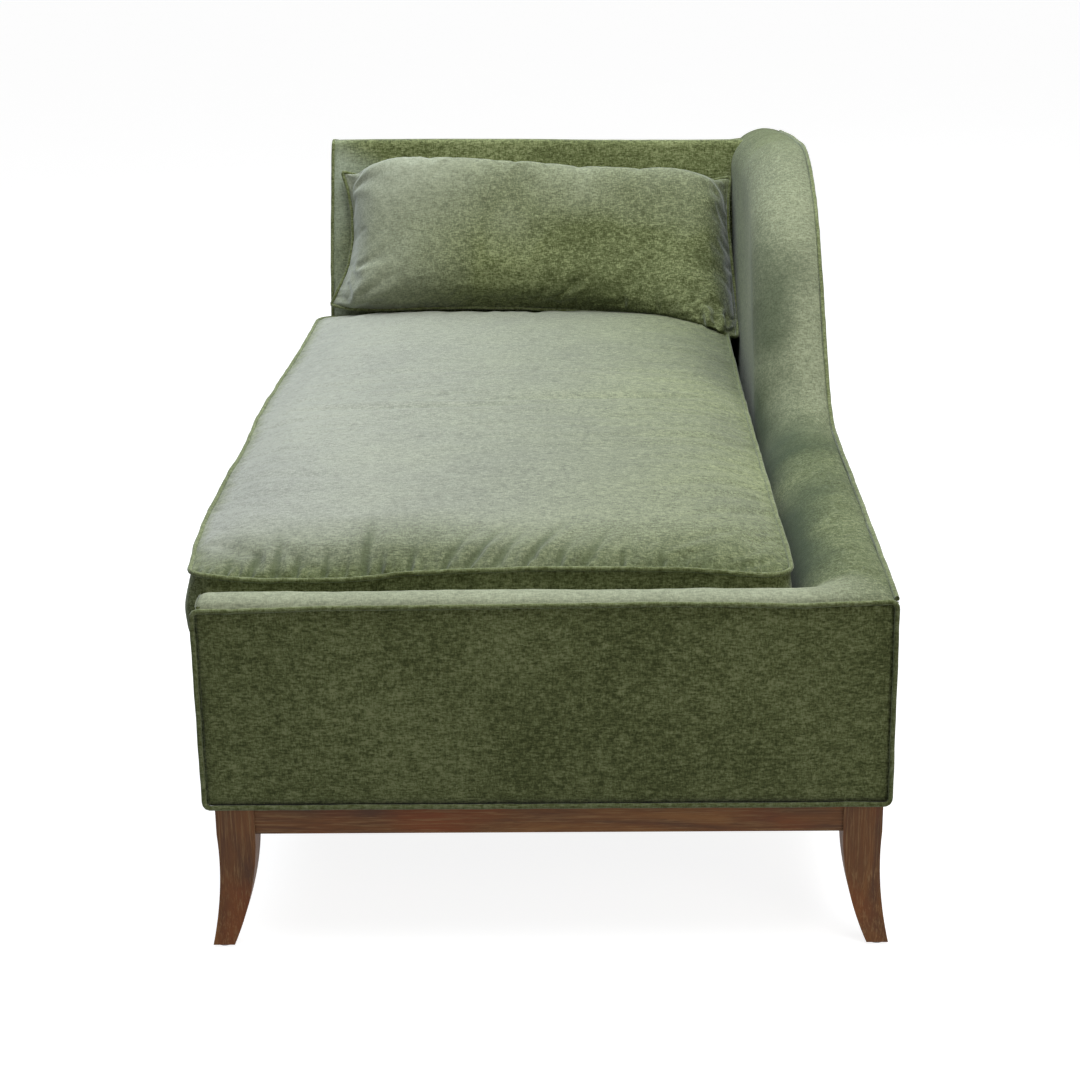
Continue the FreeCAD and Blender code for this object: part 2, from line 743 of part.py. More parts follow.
def back_covers(arm_outer):
    """Cloth on the inside and top of the back, and the outside back panel."""
    outer = back_edge(0, TUCK)
    inner = back_edge(FABRIC, TUCK)
    top = BACK_TOP
    outline = side_edges(outer) + side_edges(inner) + [
        line((outer_face(top, FABRIC), top), (outer_face(top - FABRIC, FABRIC), top - FABRIC)),
        line((back_face(TUCK, FABRIC), TUCK), (back_face(TUCK), TUCK)),
    ]
    blank = plate("back_inner_blank", "YZ_Plane", outline, "arm_inner + saddle - left - fabric",
                  x="left + fabric")
    keep(carve("back_inner_cover", blank, [arm_outer]), "back_inner_cover")
    high = top + SPARE
    panel = polygon([
        (outer_face(BOTTOM, FABRIC), BOTTOM),
        (outer_face(high, FABRIC), high),
        (outer_face(high), high),
        (outer_face(BOTTOM), BOTTOM),
    ])
    slab = plate("outside_back_slab", "YZ_Plane", panel, "body_width", x="left")
    roll = roll_points(size("arm_depth"), size("arm_roll"), size("arm_end_height"))
    centre, radius = roll_circle(size("arm_depth"), size("arm_roll"), size("arm_end_height"))
    meeting = centre[0] + math.sqrt(radius ** 2 - (top - centre[1]) ** 2)
    edge = [(RIGHT - across, up) for across, up in (roll[0], (centre[0], centre[1] + radius), (meeting, top))]
    rear_view = [
        line((LEFT, BOTTOM), (RIGHT, BOTTOM)), line((RIGHT, BOTTOM), edge[0]), arc(*edge),
        line(edge[2], (LEFT, top)), line((LEFT, top), (LEFT, BOTTOM)),
    ]
    mask = plate("outside_back_mask", "XZ_Plane", rear_view, f"outer_run + {SPARE}",
                 y=f"front + outer_run + {SPARE}")
    panel = doc.addObject("Part::Common", "outside_back_cover")
    panel.Base, panel.Tool = slab, mask
    keep(panel, "outside_back_cover")


# Footboard and arm

def roll_outline(depth, roll, top, bottom):
    """Upright outline with a rounded top, from the outer edge inward."""
    start, middle, end = roll_points(depth, roll, top)
    return [
        line((0, bottom), start),
        arc(start, middle, end),
        line(end, (depth, bottom)),
        line((depth, bottom), (0, bottom)),
    ]


def roll_section(name, y, inset, top, bottom):
    """Section of the arm, square across it, at y."""
    edges = roll_outline(size("arm_depth") - 2 * inset, size("arm_roll"), top, bottom)
    turn = FreeCAD.Rotation(Vector(-1, 0, 0), Vector(0, 0, 1), Vector(0, 1, 0), "ZXY")
    return free_sketch(name, edges, FreeCAD.Placement(Vector(RIGHT - inset, y, 0), turn))


def arm_line(lift=0):
    """Sweeping outer edge of the arm, from the front to behind the back."""
    reach = outer_face(size("arm_high_height")) + SPARE
    fall = (size("arm_high_height") - size("arm_end_height")) / (outer_face(BACK_TOP) - FRONT - size("arm_rise_end"))
    start = FRONT + size("arm_rise_end")
    points = [
        (0, FRONT, size("footboard_height") + lift),
        (0, FRONT + size("arm_rise_start"), size("arm_low_height") + lift),
        (0, start, size("arm_high_height") + lift),
        (0, reach, size("arm_high_height") + lift - (reach - start) * fall),
    ]
    return bent_route(points, [size("arm_low_radius"), size("arm_high_radius")])


def arm_stations():
    """Points along the arm's edge with the steepness there."""
    steps = int(size("arm_steps"))
    stations = []
    for kind, spots in arm_line():
        if kind == "line":
            slope = (spots[1].z - spots[0].z) / (spots[1].y - spots[0].y)
            stations.append((spots[0].y, spots[0].z, slope))
            continue
        curve = Part.Arc(*spots)
        first, last = curve.FirstParameter, curve.LastParameter
        for number in range(steps):
            at = first + (last - first) * number / steps
            if curve.value(first).distanceToPoint(spots[0]) > curve.value(last).distanceToPoint(spots[0]):
                at = first + last - at
            spot = curve.value(at)
            lean = curve.tangent(at)[0]
            stations.append((spot.y, spot.z, lean.z / lean.y))
    before_back = FRONT + size("seat_length - arm_depth / 2")
    stations.append((before_back, spots[0].z + (before_back - spots[0].y) * slope, slope))
    stations.append((spots[1].y, spots[1].z, slope))
    return stations


def mitre_wedge():
    """Everything on the arm's side of the mitre between the footboard and the arm."""
    reach = 2
    depth = size("footboard_depth")
    width = size("arm_depth")
    corner = (RIGHT + reach * width, FRONT - reach * depth)
    inner = (size("arm_inner") - reach * width, size("foot_inner") + reach * depth)
    outline = polygon([corner, (corner[0], inner[1]), inner])
    return plate("mitre_wedge", "XY_Plane", outline, "footboard_height + 2 * body_bottom", z="-body_bottom")


def mitre_section(name, inset, bottom):
    """Section of the footboard where the mitre cuts it: its round top is drawn out to part of an ellipse."""
    slope = size("arm_depth / footboard_depth")
    stretch = math.hypot(1, slope)
    depth = size("footboard_depth") - 2 * inset
    top = size("footboard_height") - inset
    roll = size("footboard_roll")
    centre, radius = roll_circle(depth, roll, top)
    middle = Vector(centre[0] * stretch, centre[1], 0)
    oval = Part.Ellipse(middle, radius * stretch, radius)
    start = (0, top)
    end = (depth * stretch, top - roll)
    edges = [
        line((0, bottom), start),
        Part.ArcOfEllipse(oval, 0, math.atan2(roll, -centre[0])),
        line(end, (end[0], bottom)),
        line((end[0], bottom), (0, bottom)),
    ]
    along = Vector(-slope, 1, 0).normalize()
    up = Vector(0, 0, 1)
    turn = FreeCAD.Rotation(along, up, along.cross(up), "ZXY")
    return free_sketch(name, edges, FreeCAD.Placement(Vector(RIGHT - inset * slope, FRONT + inset, 0), turn))


def footboard_form(name, inset, bottom, wedge):
    """Body of the footboard from the open side to the mitre."""
    outline = roll_outline(size("footboard_depth") - 2 * inset, size("footboard_roll"),
                           size("footboard_height") - inset, bottom)
    blank = plate(name + "_blank", "YZ_Plane", outline, f"body_width - fabric - {inset}",
                  x="left + fabric", y=f"front + {inset}")
    return carve(name, blank, [wedge])


def arm_form(name, inset, bottom):
    """Body of the arm from the mitre to behind the back."""
    sections = [mitre_section(name + "_mitre", inset, bottom)]
    start = size("foot_inner") + size("footboard_depth")
    stations = arm_stations()
    first_slope = stations[0][2]
    stations = [(start, stations[0][1] + (start - FRONT) * first_slope, first_slope)] + stations[1:]
    for count, (y, z, slope) in enumerate(stations):
        top = z - inset * math.hypot(1, slope)
        sections.append(roll_section(f"{name}_section{count}", y, inset, top, bottom))
    return loft(name, sections)


def arm_panel():
    """Plywood side of the arm, sawn to the same sweep and full height."""
    route = side_edges(arm_line(-size("arm_cap")))
    blank_low = FRAME_BOTTOM
    first = route[0].StartPoint
    last = route[-1].EndPoint
    outline = [line((first.x, blank_low), (first.x, first.y))] + route + [
        line((last.x, last.y), (last.x, blank_low)),
        line((last.x, blank_low), (first.x, blank_low)),
    ]
    blank = plate("arm_panel_blank", "YZ_Plane", outline, "board", x="right - panel_in")
    front_trim = block("arm_panel_front_trim", "arm_frame - 1", f"front - {SPARE}", "frame_bottom - 1",
                       "board + 2", f"pad_in + {SPARE}", "rail_height + footboard_height")
    low = BOTTOM - SPARE
    high = BACK_TOP + 3 * SPARE
    rear = polygon([
        (outer_face(low, PAD_IN), low),
        (outer_face(high, PAD_IN), high),
        (outer_face(high) + 2 * SPARE, high),
        (outer_face(high) + 2 * SPARE, low),
    ])
    rear_trim = plate("arm_panel_rear_trim", "YZ_Plane", rear, "board + 2", x="arm_frame - 1")
    return keep(carve("arm_panel", blank, [front_trim, rear_trim]), "arm_panel")


def footboard_panel():
    """Plywood end panel of the footboard."""
    return keep(block("footboard_panel", "frame_left", "front + pad_in", "frame_bottom",
                      "arm_frame - frame_left", "board",
                      "footboard_height - footboard_cap - frame_bottom"), "footboard_panel")


def footboard_and_arm(frame_parts, back_rails, wedge, arm_outer):
    """Padding and covers of the footboard and the arm."""
    deep = BOTTOM - SPARE
    mitre = mitre_wedge()
    foot_outer = footboard_form("footboard_outer", 0, BOTTOM, mitre)
    foot_inner = footboard_form("footboard_inner", FABRIC, deep, mitre)
    arm_inner = arm_form("arm_inner_form", FABRIC, deep)
    run = f"outer_run + {4 * SPARE}"
    depth = f"body_width + {2 * SPARE}"
    below = block("below_frame", f"left - {SPARE}", f"front - {SPARE}", f"body_bottom - {2 * SPARE}",
                  depth, run, f"dust_cloth + {2 * SPARE}")
    foot_void = block("footboard_void", "frame_left", "front + pad_in", f"body_bottom - {2 * SPARE}",
                      depth, "footboard_depth", f"tuck - body_bottom + {2 * SPARE}")
    arm_void = block("arm_void", "arm_inner - 1", "front + pad_in", f"body_bottom - {2 * SPARE}",
                     "arm_depth - pad_in + 1", run, f"tuck - body_bottom + {2 * SPARE}")
    hollow = plate("arm_hollow", "YZ_Plane", polygon(back_hollow_outline()),
                   "arm_frame - rail - arm_inner + 2", x="arm_inner - 2")
    panel, board = frame_parts
    keep(carve("footboard_padding", foot_inner, [below, foot_void, board, panel]), "footboard_padding")
    keep(carve("arm_padding", arm_inner, [below, arm_void, hollow, wedge, panel, board]), "arm_padding")

    front_slab = block("front_slab", f"left - {SPARE}", f"front - {SPARE}", f"body_bottom - {SPARE}",
                       f"body_width + {2 * SPARE}", f"fabric + {SPARE}", f"footboard_height + {SPARE}")
    side_slab = block("side_slab", "right - fabric", f"front - {SPARE}", f"body_bottom - {SPARE}",
                      f"fabric + {SPARE}", run, f"arm_high_height + {SPARE}")
    under_foot = block("under_footboard", f"left - {SPARE}", f"front - {SPARE}", f"body_bottom - {SPARE}",
                       depth, f"footboard_depth + {2 * SPARE}", f"tuck - body_bottom + {SPARE}")
    under_arm = block("under_arm", f"arm_inner - {SPARE}", f"front - {SPARE}", f"body_bottom - {SPARE}",
                      f"arm_depth + {SPARE}", run, f"tuck - body_bottom + {SPARE}")
    keep(carve("footboard_top_cover", foot_outer, [foot_inner, front_slab, under_foot]), "footboard_top_cover")
    keep(carve("arm_inner_cover", arm_outer, [
        arm_inner, side_slab, front_slab, under_arm, wedge, *back_rails,
    ]), "arm_inner_cover")
    front_face = plate("footboard_front_cover", "XZ_Plane", polygon([
        (LEFT + FABRIC, BOTTOM), (RIGHT - FABRIC, BOTTOM),
        (RIGHT - FABRIC, size("footboard_height")), (LEFT + FABRIC, size("footboard_height")),
    ]), "fabric", y="front + fabric")
    keep(front_face, "footboard_front_cover")


def arm_outer_cover():
    """Flat cloth on the outside of the arm, sawn to the sweep."""
    route = side_edges(arm_line())
    first = route[0].StartPoint
    last = route[-1].EndPoint
    outline = [line((first.x, BOTTOM), (first.x, first.y))] + route + [
        line((last.x, last.y), (last.x, BOTTOM)),
        line((last.x, BOTTOM), (first.x, BOTTOM)),
    ]
    return plate("arm_outer_blank", "YZ_Plane", outline, "fabric", x="right - fabric")


# Piped seams

def frame_welts():
    """Piping round the front panel, along the arm, on the back's side and round the outside back."""
    radius = size("welt") / 2
    low = BOTTOM + radius
    bend = size("welt_bend")
    y = FRONT - radius
    top = size("footboard_height")
    loop = bent_route([(LEFT, y, low), (LEFT, y, top), (RIGHT, y, top), (RIGHT, y, low)], [bend] * 4, closed=True)
    keep(piping("footboard_welt", route_edges(loop), loop[0][1][0], Vector(0, 0, 1)), "footboard_welt")

    x = RIGHT + radius
    pieces = arm_line()
    pieces[0] = ("line", (pieces[0][1][0] + Vector(0, radius, 0), pieces[0][1][1]))
    start, end = pieces[-1][1]
    along = (end - start).normalize()
    rear = outer_face(start.z) - radius
    pieces[-1] = ("line", (start, start + along * ((rear - start.y) / along.y)))
    shifted = [(kind, [spot + Vector(x, 0, 0) for spot in spots]) for kind, spots in pieces]
    heading = (shifted[0][1][1] - shifted[0][1][0]).normalize()
    keep(piping("arm_welt", route_edges(shifted), shifted[0][1][0], heading), "arm_welt")

    x = LEFT - radius
    edge = back_edge(0, DECK + 2 * radius)
    shifted = [(kind, [spot + Vector(x, 0, 0) for spot in spots]) for kind, spots in edge]
    heading = (shifted[0][1][1] - shifted[0][1][0]).normalize()
    keep(piping("back_side_welt", route_edges(shifted), shifted[0][1][0], heading), "back_side_welt")

    lean = radius * math.hypot(1, OUTER_SLANT)
    top = BACK_TOP - radius
    corners = [
        (LEFT + radius, outer_face(low) + lean, low), (LEFT + radius, outer_face(top) + lean, top),
        (RIGHT - radius, outer_face(top) + lean, top), (RIGHT - radius, outer_face(low) + lean, low),
    ]
    loop = bent_route(corners, [bend] * 2)
    heading = (loop[0][1][1] - loop[0][1][0]).normalize()
    keep(piping("outside_back_welt", route_edges(loop), loop[0][1][0], heading), "outside_back_welt")


# Loose cushions

def drawn_in(half_x, half_y, draw_x, draw_y, corner, inset=0, least=0):
    """Rectangle whose sides are drawn in between its corners, as the points of eight edges.

    draw_x is taken off the two sides that face along X, draw_y off the other two. The arcs of
    an inset outline share their centres with the full one until the corners reach their least
    radius, and from there on the corners are cut straight.
    """
    full_top = (half_x ** 2 + draw_y ** 2) / (2 * draw_y)
    full_side = (half_y ** 2 + draw_x ** 2) / (2 * draw_x)
    top_y = half_y - draw_y + full_top
    side_x = half_x - draw_x + full_side
    radius_top = full_top + inset
    radius_side = full_side + inset
    blunt = corner - inset <= least
    corner = max(corner - inset, least)
    reach_top = radius_top + corner
    reach_side = radius_side + corner
    span = math.hypot(side_x, top_y)
    along = (reach_top ** 2 - reach_side ** 2 + span ** 2) / (2 * span)
    off = math.sqrt(reach_top ** 2 - along ** 2)
    unit = (side_x / span, -top_y / span)
    spots = [
        (unit[0] * along - sign * unit[1] * off, top_y + unit[1] * along + sign * unit[0] * off)
        for sign in (1, -1)
    ]
    centre = min(spots, key=lambda spot: abs(spot[0]) + abs(spot[1]))

    def toward(start, goal, distance):
        gap = math.dist(start, goal)
        return tuple(a + (b - a) * distance / gap for a, b in zip(start, goal))

    on_top = toward(centre, (0, top_y), corner)
    on_side = toward(centre, (side_x, 0), corner)
    tip = toward(centre, ((on_top[0] + on_side[0]) / 2, (on_top[1] + on_side[1]) / 2), corner)
    quarters = ((1, 1), (1, -1), (-1, -1), (-1, 1))
    arcs = []
    for number, (sx, sy) in enumerate(quarters):
        nx, ny = quarters[(number + 1) % 4]
        first, last = (on_top, on_side) if sx == sy else (on_side, on_top)
        bend = (first, last) if blunt else (first, tip, last)
        arcs.append([(sx * spot[0], sy * spot[1]) for spot in bend])
        following = on_side if last == on_side else on_top
        middle = (sx * (half_x - draw_x - inset), 0) if sx == nx else (0, sy * (half_y - draw_y - inset))
        arcs.append([(sx * last[0], sy * last[1]), middle, (nx * following[0], ny * following[1])])
    return arcs


def eased_in(half_x, half_y, draw_x, draw_y, corner, inset, least):
    """The same outline drawn smaller, with sides that keep their directions, so the cloth between stays flat.

    Straight cuts bulge out of a hollow side, and the outline is drawn in by that much.
    """
    inset += max(draw_x, draw_y) / size("side_cuts") ** 2
    share_x = 1 - inset / half_x
    share_y = 1 - inset / half_y
    return drawn_in(half_x * share_x, half_y * share_y, draw_x * share_y, draw_y * share_x,
                    max(corner - inset, least), 0, least)


def rim_edges(rim):
    """Short straight edges of a section sketch along a drawn-in outline, as many in every section."""
    points = []
    for number, spots in enumerate(rim):
        count = int(size("corner_cuts" if number % 2 == 0 else "side_cuts"))
        edge = line(*spots) if len(spots) == 2 else arc(*spots)
        points += [(spot.x, spot.y) for spot in edge.toShape().discretize(count + 1)[:-1]]
    return polygon(points)


def cushion_rim(inset, outline=eased_in):
    """Plan of the seat cushion, inset from its widest outline."""
    half_x = size("cushion_right - cushion_left") / 2
    half_y = size("cushion_back - cushion_front") / 2
    draw = size("cushion_draw")
    return outline(half_x, half_y, draw, draw, size("cushion_corner"), inset, size("cushion_ridge"))


def cushion_middle(height):
    """Middle of the seat cushion's plan at a height."""
    return Vector(size("cushion_right + cushion_left") / 2, size("cushion_back + cushion_front") / 2, height)


def cushion_form(name, inset):
    """Box cushion: rounded under edge, bulging boxing, seam line and crowned top."""
    low = size("cushion_bottom")
    seam = size("seam_height")
    crown = size("cushion_crown") - inset
    boxing = seam - low
    seam_in = size("cushion_seam_in")
    # inset from the widest outline, and height
    sides = [(20, low + inset), (0, low + 0.3 * boxing), (seam_in, seam)]
    # inset from the seam, and share of the crown
    top = [(0, 0), (35, 0.5), (110, 0.83), (258, 1)]
    rows = sides + [(seam_in + step, seam + share * crown) for step, share in top[1:]]
    sections = [
        free_sketch(f"{name}_{count}", rim_edges(cushion_rim(step + inset)),
                    FreeCAD.Placement(cushion_middle(height), FreeCAD.Rotation()))
        for count, (step, height) in enumerate(rows)
    ]
    return loft(name, sections)


def seat_cushion():
    """Foam core, soft filling, cover with its zip, and the piped top seam."""
    outer = cushion_form("cushion_cover_form", 0)
    inner = cushion_form("cushion_fill_form", FABRIC)
    wrap = "fill_wrap"
    core = block("seat_cushion_core", f"cushion_left + {wrap}", f"cushion_front + {wrap}",
                 "cushion_bottom + (cushion_boxing - cushion_core) / 2",
                 f"cushion_right - cushion_left - 2 * {wrap}", f"cushion_back - cushion_front - 2 * {wrap}",
                 "cushion_core")
    keep(core, "seat_cushion_core")
    zip_middle = "cushion_bottom + cushion_boxing / 2"
    middle_x = "(cushion_left + cushion_right) / 2"
    recess = "cushion_back - cushion_draw - zip_depth"
    zip_room = block("cushion_zip_room", f"{middle_x} - zip_length / 2", recess,
                     f"{zip_middle} - zip_width / 2", "zip_length", "zip_depth + cushion_draw + 1", "zip_width")
    keep(carve("seat_cushion_filling", inner, [core, zip_room]), "seat_cushion_filling")
    keep(carve("seat_cushion_cover", outer, [inner, zip_room]), "seat_cushion_cover")
    keep(block("seat_cushion_zip", f"{middle_x} - zip_length / 2", recess, f"{zip_middle} - zip_width / 2",
               "zip_length", "zip_depth", "zip_width"), "seat_cushion_zip")
    keep(block("seat_cushion_zip_slider", f"{middle_x} - zip_length / 2 + slider_length",
               f"{recess} + zip_depth + 0.3", f"{zip_middle} - slider_width / 2",
               "slider_length", "slider_depth", "slider_width"), "seat_cushion_zip_slider")

    out = size("welt / 2 + seam_gap - cushion_seam_in")
    middle = cushion_middle(size("seam_height"))
    edges = [Part.Arc(*[middle + Vector(*spot, 0) for spot in spots]) for spots in cushion_rim(-out, drawn_in)]
    start = edges[0].StartPoint
    heading = Vector(*edges[0].tangent(edges[0].FirstParameter)[0])
    keep(piping("seat_cushion_welt", edges, start, heading), "seat_cushion_welt")


def pillow_placement():
    """Pillow's own frame: X along it, Y up its seam plane, Z out of its front."""
    slant = math.radians(size("pillow_slant"))
    up = Vector(0, math.sin(slant), math.cos(slant))
    half = size("pillow_height") / 2
    foot = Vector(
        size("(left + arm_inner) / 2"),
        FRONT + size("seat_length - pillow_forward"),
        size("seam_height + pillow_rise"),
    )
    turn = FreeCAD.Rotation(Vector(1, 0, 0), up, Vector(1, 0, 0).cross(up), "ZXY")
    return FreeCAD.Placement(foot + up * half, turn)


def pillow_rim(inset, outline=eased_in):
    """Pillow's outline, inset from its seam; the cloth's corners are cut straight, the piping's are round."""
    corner = size("pillow_corner")
    return outline(size("pillow_width") / 2, size("pillow_height") / 2, size("pillow_side_draw"),
                   size("pillow_long_draw"), corner, inset, corner)


def pillow_form(name, inset):
    """Two domes that meet in a knife edge at the seam."""
    half = size("pillow_half") - inset
    steps = int(size("pillow_steps"))
    frame = pillow_placement()
    domes = []
    for face, way in (("front", 1), ("rear", -1)):
        sections = []
        for count in range(steps + 1):
            share = count / steps
            lift = way * half * math.sin(share * math.pi / 2)
            edges = rim_edges(pillow_rim(inset + size("pillow_slope") * share ** 1.5))
            shift = FreeCAD.Placement(Vector(0, 0, lift), FreeCAD.Rotation())
            sections.append(free_sketch(f"{name}_{face}{count}", edges, frame * shift))
        domes.append(loft(f"{name}_{face}", sections))
    return join(name, domes)


def lumbar_pillow():
    """Filling, knife-edge cover and the piped seam."""
    outer = pillow_form("pillow_cover_form", 0)
    inner = pillow_form("pillow_fill_form", FABRIC)
    keep(carve("lumbar_pillow_cover", outer, [inner]), "lumbar_pillow_cover")
    keep(inner, "lumbar_pillow_filling")
    frame = pillow_placement()
    rows = pillow_rim(-size("welt / 2 + seam_gap"), drawn_in)
    edges = [Part.Arc(*[frame.multVec(Vector(*spot, 0)) for spot in spots]) for spots in rows]
    heading = Vector(*edges[0].tangent(edges[0].FirstParameter)[0])
    keep(piping("lumbar_pillow_welt", edges, edges[0].StartPoint, heading), "lumbar_pillow_welt")


def build():
    """All sub-parts in the order of assembly."""
    for corner in CORNERS:
        sabre_leg(corner)
    glides()
    apron_rails()
    base_blocks()
    leg_frame_bolts()
    seat_frame()
    dust_cover()
    seat_straps()
    deck()
    back_rails = back_frame()
    arm_outer = arm_form("arm_outer", 0, BOTTOM)
    back_padding(arm_outer)
    side_padding()
    left_side_cover()
    back_covers(arm_outer)
    wedge = rear_wedge()
    frame_parts = (arm_panel(), footboard_panel())
    footboard_and_arm(frame_parts, back_rails, wedge, arm_outer)
    keep(carve("arm_outer_cover", arm_outer_cover(), [wedge]), "arm_outer_cover")
    frame_welts()
    seat_cushion()
    lumbar_pillow()


def check_and_write():
    """Recompute, refuse anything broken, and write one STEP file per sub-part."""
    doc.recompute()
    broken = [item.Name for item in doc.Objects if {"Invalid", "Error"} & set(item.State)]
    if broken:
        raise RuntimeError("these objects failed: " + ", ".join(broken))
    for item in NODES:
        shape = item.Shape
        if shape.isNull() or not shape.isValid() or not shape.Solids:
            raise RuntimeError(item.Label + " is not a sound solid")
    for item in NODES:
        item.Shape.exportStep(os.path.join("parts", item.Label + ".step"))
        print(f"{item.Label}: {len(item.Shape.Solids)} solid(s), {item.Shape.Volume / 1000:.1f} cm3")
    print(len(NODES), "sub-parts")


build()
check_and_write()
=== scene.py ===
"""Looks of the chaise longue, in metres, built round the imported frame."""
import bmesh
import bpy
import math
import numpy as np
from mathutils import Matrix, Vector, noise


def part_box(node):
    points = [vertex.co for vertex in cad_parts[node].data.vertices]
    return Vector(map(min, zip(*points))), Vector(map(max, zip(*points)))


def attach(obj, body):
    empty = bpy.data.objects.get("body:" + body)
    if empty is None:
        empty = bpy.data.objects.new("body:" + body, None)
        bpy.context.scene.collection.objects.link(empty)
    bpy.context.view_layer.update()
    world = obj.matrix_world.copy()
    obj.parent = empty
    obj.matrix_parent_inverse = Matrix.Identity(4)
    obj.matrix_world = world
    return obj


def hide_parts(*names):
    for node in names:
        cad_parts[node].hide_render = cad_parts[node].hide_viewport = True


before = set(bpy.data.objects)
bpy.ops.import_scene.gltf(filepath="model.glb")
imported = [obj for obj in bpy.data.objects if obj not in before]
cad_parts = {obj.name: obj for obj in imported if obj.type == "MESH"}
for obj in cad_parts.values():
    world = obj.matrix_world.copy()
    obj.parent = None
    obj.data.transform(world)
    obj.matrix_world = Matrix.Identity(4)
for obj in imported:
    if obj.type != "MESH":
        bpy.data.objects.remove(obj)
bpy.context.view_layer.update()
scene = bpy.context.scene
X, Y, Z = range(3)

# Sizes of the body
LEFT, RIGHT = -0.41125, 0.42875
FRONT, FOOT_IN = -0.857, -0.787
ARM_IN = 0.31875
BOTTOM, DECK = 0.190, 0.3765
COVER_LOW = 0.345
FOOT_TOP, BACK_TOP = 0.450, 0.772
FOOT_WIDTH, FOOT_ROLL = 0.070, 0.040
ARM_WIDTH, ARM_ROLL = 0.110, 0.070
SEAT_LENGTH, OUTER_RUN = 1.550, 1.71403
BACK_SLANT = math.tan(math.radians(15.9))
OUTER_SLANT = math.tan(math.radians(5))
WELT = 0.0032

# The arm's low run, its sweep up, and its slimmer and lower rear end
LOW_RUN, LOW_RUN_TOP = 0.766, 0.463
SWEEP_END, ARM_TOP = 1.106, 0.814
SWEEP_RADII = [0, 0.180, 0.420, 0]
SLIM = 0.013
REAR_FALL = 0.006
REAR_DEPTH, REAR_ROLL = 0.097, 0.0622
REAR_RADIUS = (REAR_DEPTH ** 2 + REAR_ROLL ** 2) / (2 * REAR_DEPTH)
REAR_CENTRE = (RIGHT - REAR_DEPTH + REAR_RADIUS, BACK_TOP - REAR_FALL - REAR_ROLL)

# The loose seat cushion
PAD_LEFT, PAD_RIGHT = -0.43325, 0.31075
PAD_FRONT, PAD_BACK = -0.7865, 0.6615
PAD_LOW, SEAM = 0.377, 0.465
PAD_CORNER, PAD_DRAW, PAD_INSET = 0.038, 0.005, 0.002

# The pillow's face, along and up it, and its lean
PILLOW_LENGTH, PILLOW_HEIGHT = 0.74, 0.28
PILLOW_SLANT = math.radians(22)
PILLOW_UP = Vector((0, math.sin(PILLOW_SLANT), math.cos(PILLOW_SLANT)))
PILLOW_OUT = Vector((1, 0, 0)).cross(PILLOW_UP)

# Camera, fitted to the photograph's frame of 1080 pixels
FRAME, SENSOR = 1080, 36
FOCAL = 2205.7566
PITCH, YAW, ROLL = 0.321, -0.0223, -0.0151
EYE = Vector((0.0590, -3.3202, 1.3511))

# Seams seen in the photograph, as columns and rows of its pixels
LEFT_SEAM_PIXELS = [(186, 566), (193, 540), (206, 510), (222, 480), (240, 450), (253, 420), (271, 390),
                    (291, 360), (310, 330)]
FRONT_SEAM_PIXELS = [(208, 577), (232, 580), (266, 582), (344, 582), (372, 579.5), (401, 576),
                     (450, 573.5), (520, 571), (600, 570.5), (690, 571), (742, 575), (790, 577)]

# The pillow's seams: column, row, and the height of its foot or the depth of its ends there
PILLOW_FOOT_PIXELS = [(332, 305, 0.485), (352, 309, 0.486), (385, 309.5, 0.486), (430, 307.5, 0.486),
                      (475, 307, 0.486), (520, 307.5, 0.486), (565, 309.5, 0.486), (620, 313, 0.485),
                      (665, 318, 0.482), (697, 326, 0.476), (722, 335, 0.467), (736, 337, 0.459)]
PILLOW_LEFT_PIXELS = [(343, 172, 0.742), (349, 190, 0.733), (353, 212, 0.722), (354, 240, 0.705),
                      (349, 268, 0.686), (338, 292, 0.665)]
PILLOW_RIGHT_PIXELS = [(730, 177, 0.742), (727, 200, 0.720), (727, 225, 0.690), (730, 255, 0.660),
                       (733, 285, 0.620), (737, 315, 0.560)]

# Waves of the footboard's upper seam: x and rise
FOOT_SEAM_WAVES = [(-0.42, -0.004), (-0.37, -0.004), (-0.25, -0.001), (-0.05, 0.0), (0.15, 0.001),
                   (0.32, -0.002), (0.37, 0.0), (0.43, 0.002)]

# Larger gathers along the cushion's front seam: x, length, lean and depth
PUCKERS = [
    (-0.385, 0.045, 0.1, 0.0030), (-0.352, 0.070, 0.1, 0.0050), (-0.322, 0.080, -0.05, 0.0060),
    (-0.300, 0.050, 0.05, 0.0040), (-0.262, 0.055, 0.0, 0.0035), (-0.214, 0.100, 0.0, 0.0075),
    (-0.196, 0.080, -0.05, 0.0055), (-0.160, 0.055, 0.1, 0.0035), (-0.118, 0.075, 0.35, 0.0050),
    (-0.090, 0.090, 0.45, 0.0065), (-0.055, 0.080, 0.35, 0.0050), (-0.020, 0.095, 0.45, 0.0065),
    (0.020, 0.065, 0.3, 0.0040), (0.055, 0.080, 0.35, 0.0046), (0.100, 0.060, 0.2, 0.0034),
    (0.150, 0.050, 0.1, 0.0028), (0.205, 0.045, 0.0, 0.0022), (0.255, 0.040, -0.2, 0.0020),
]

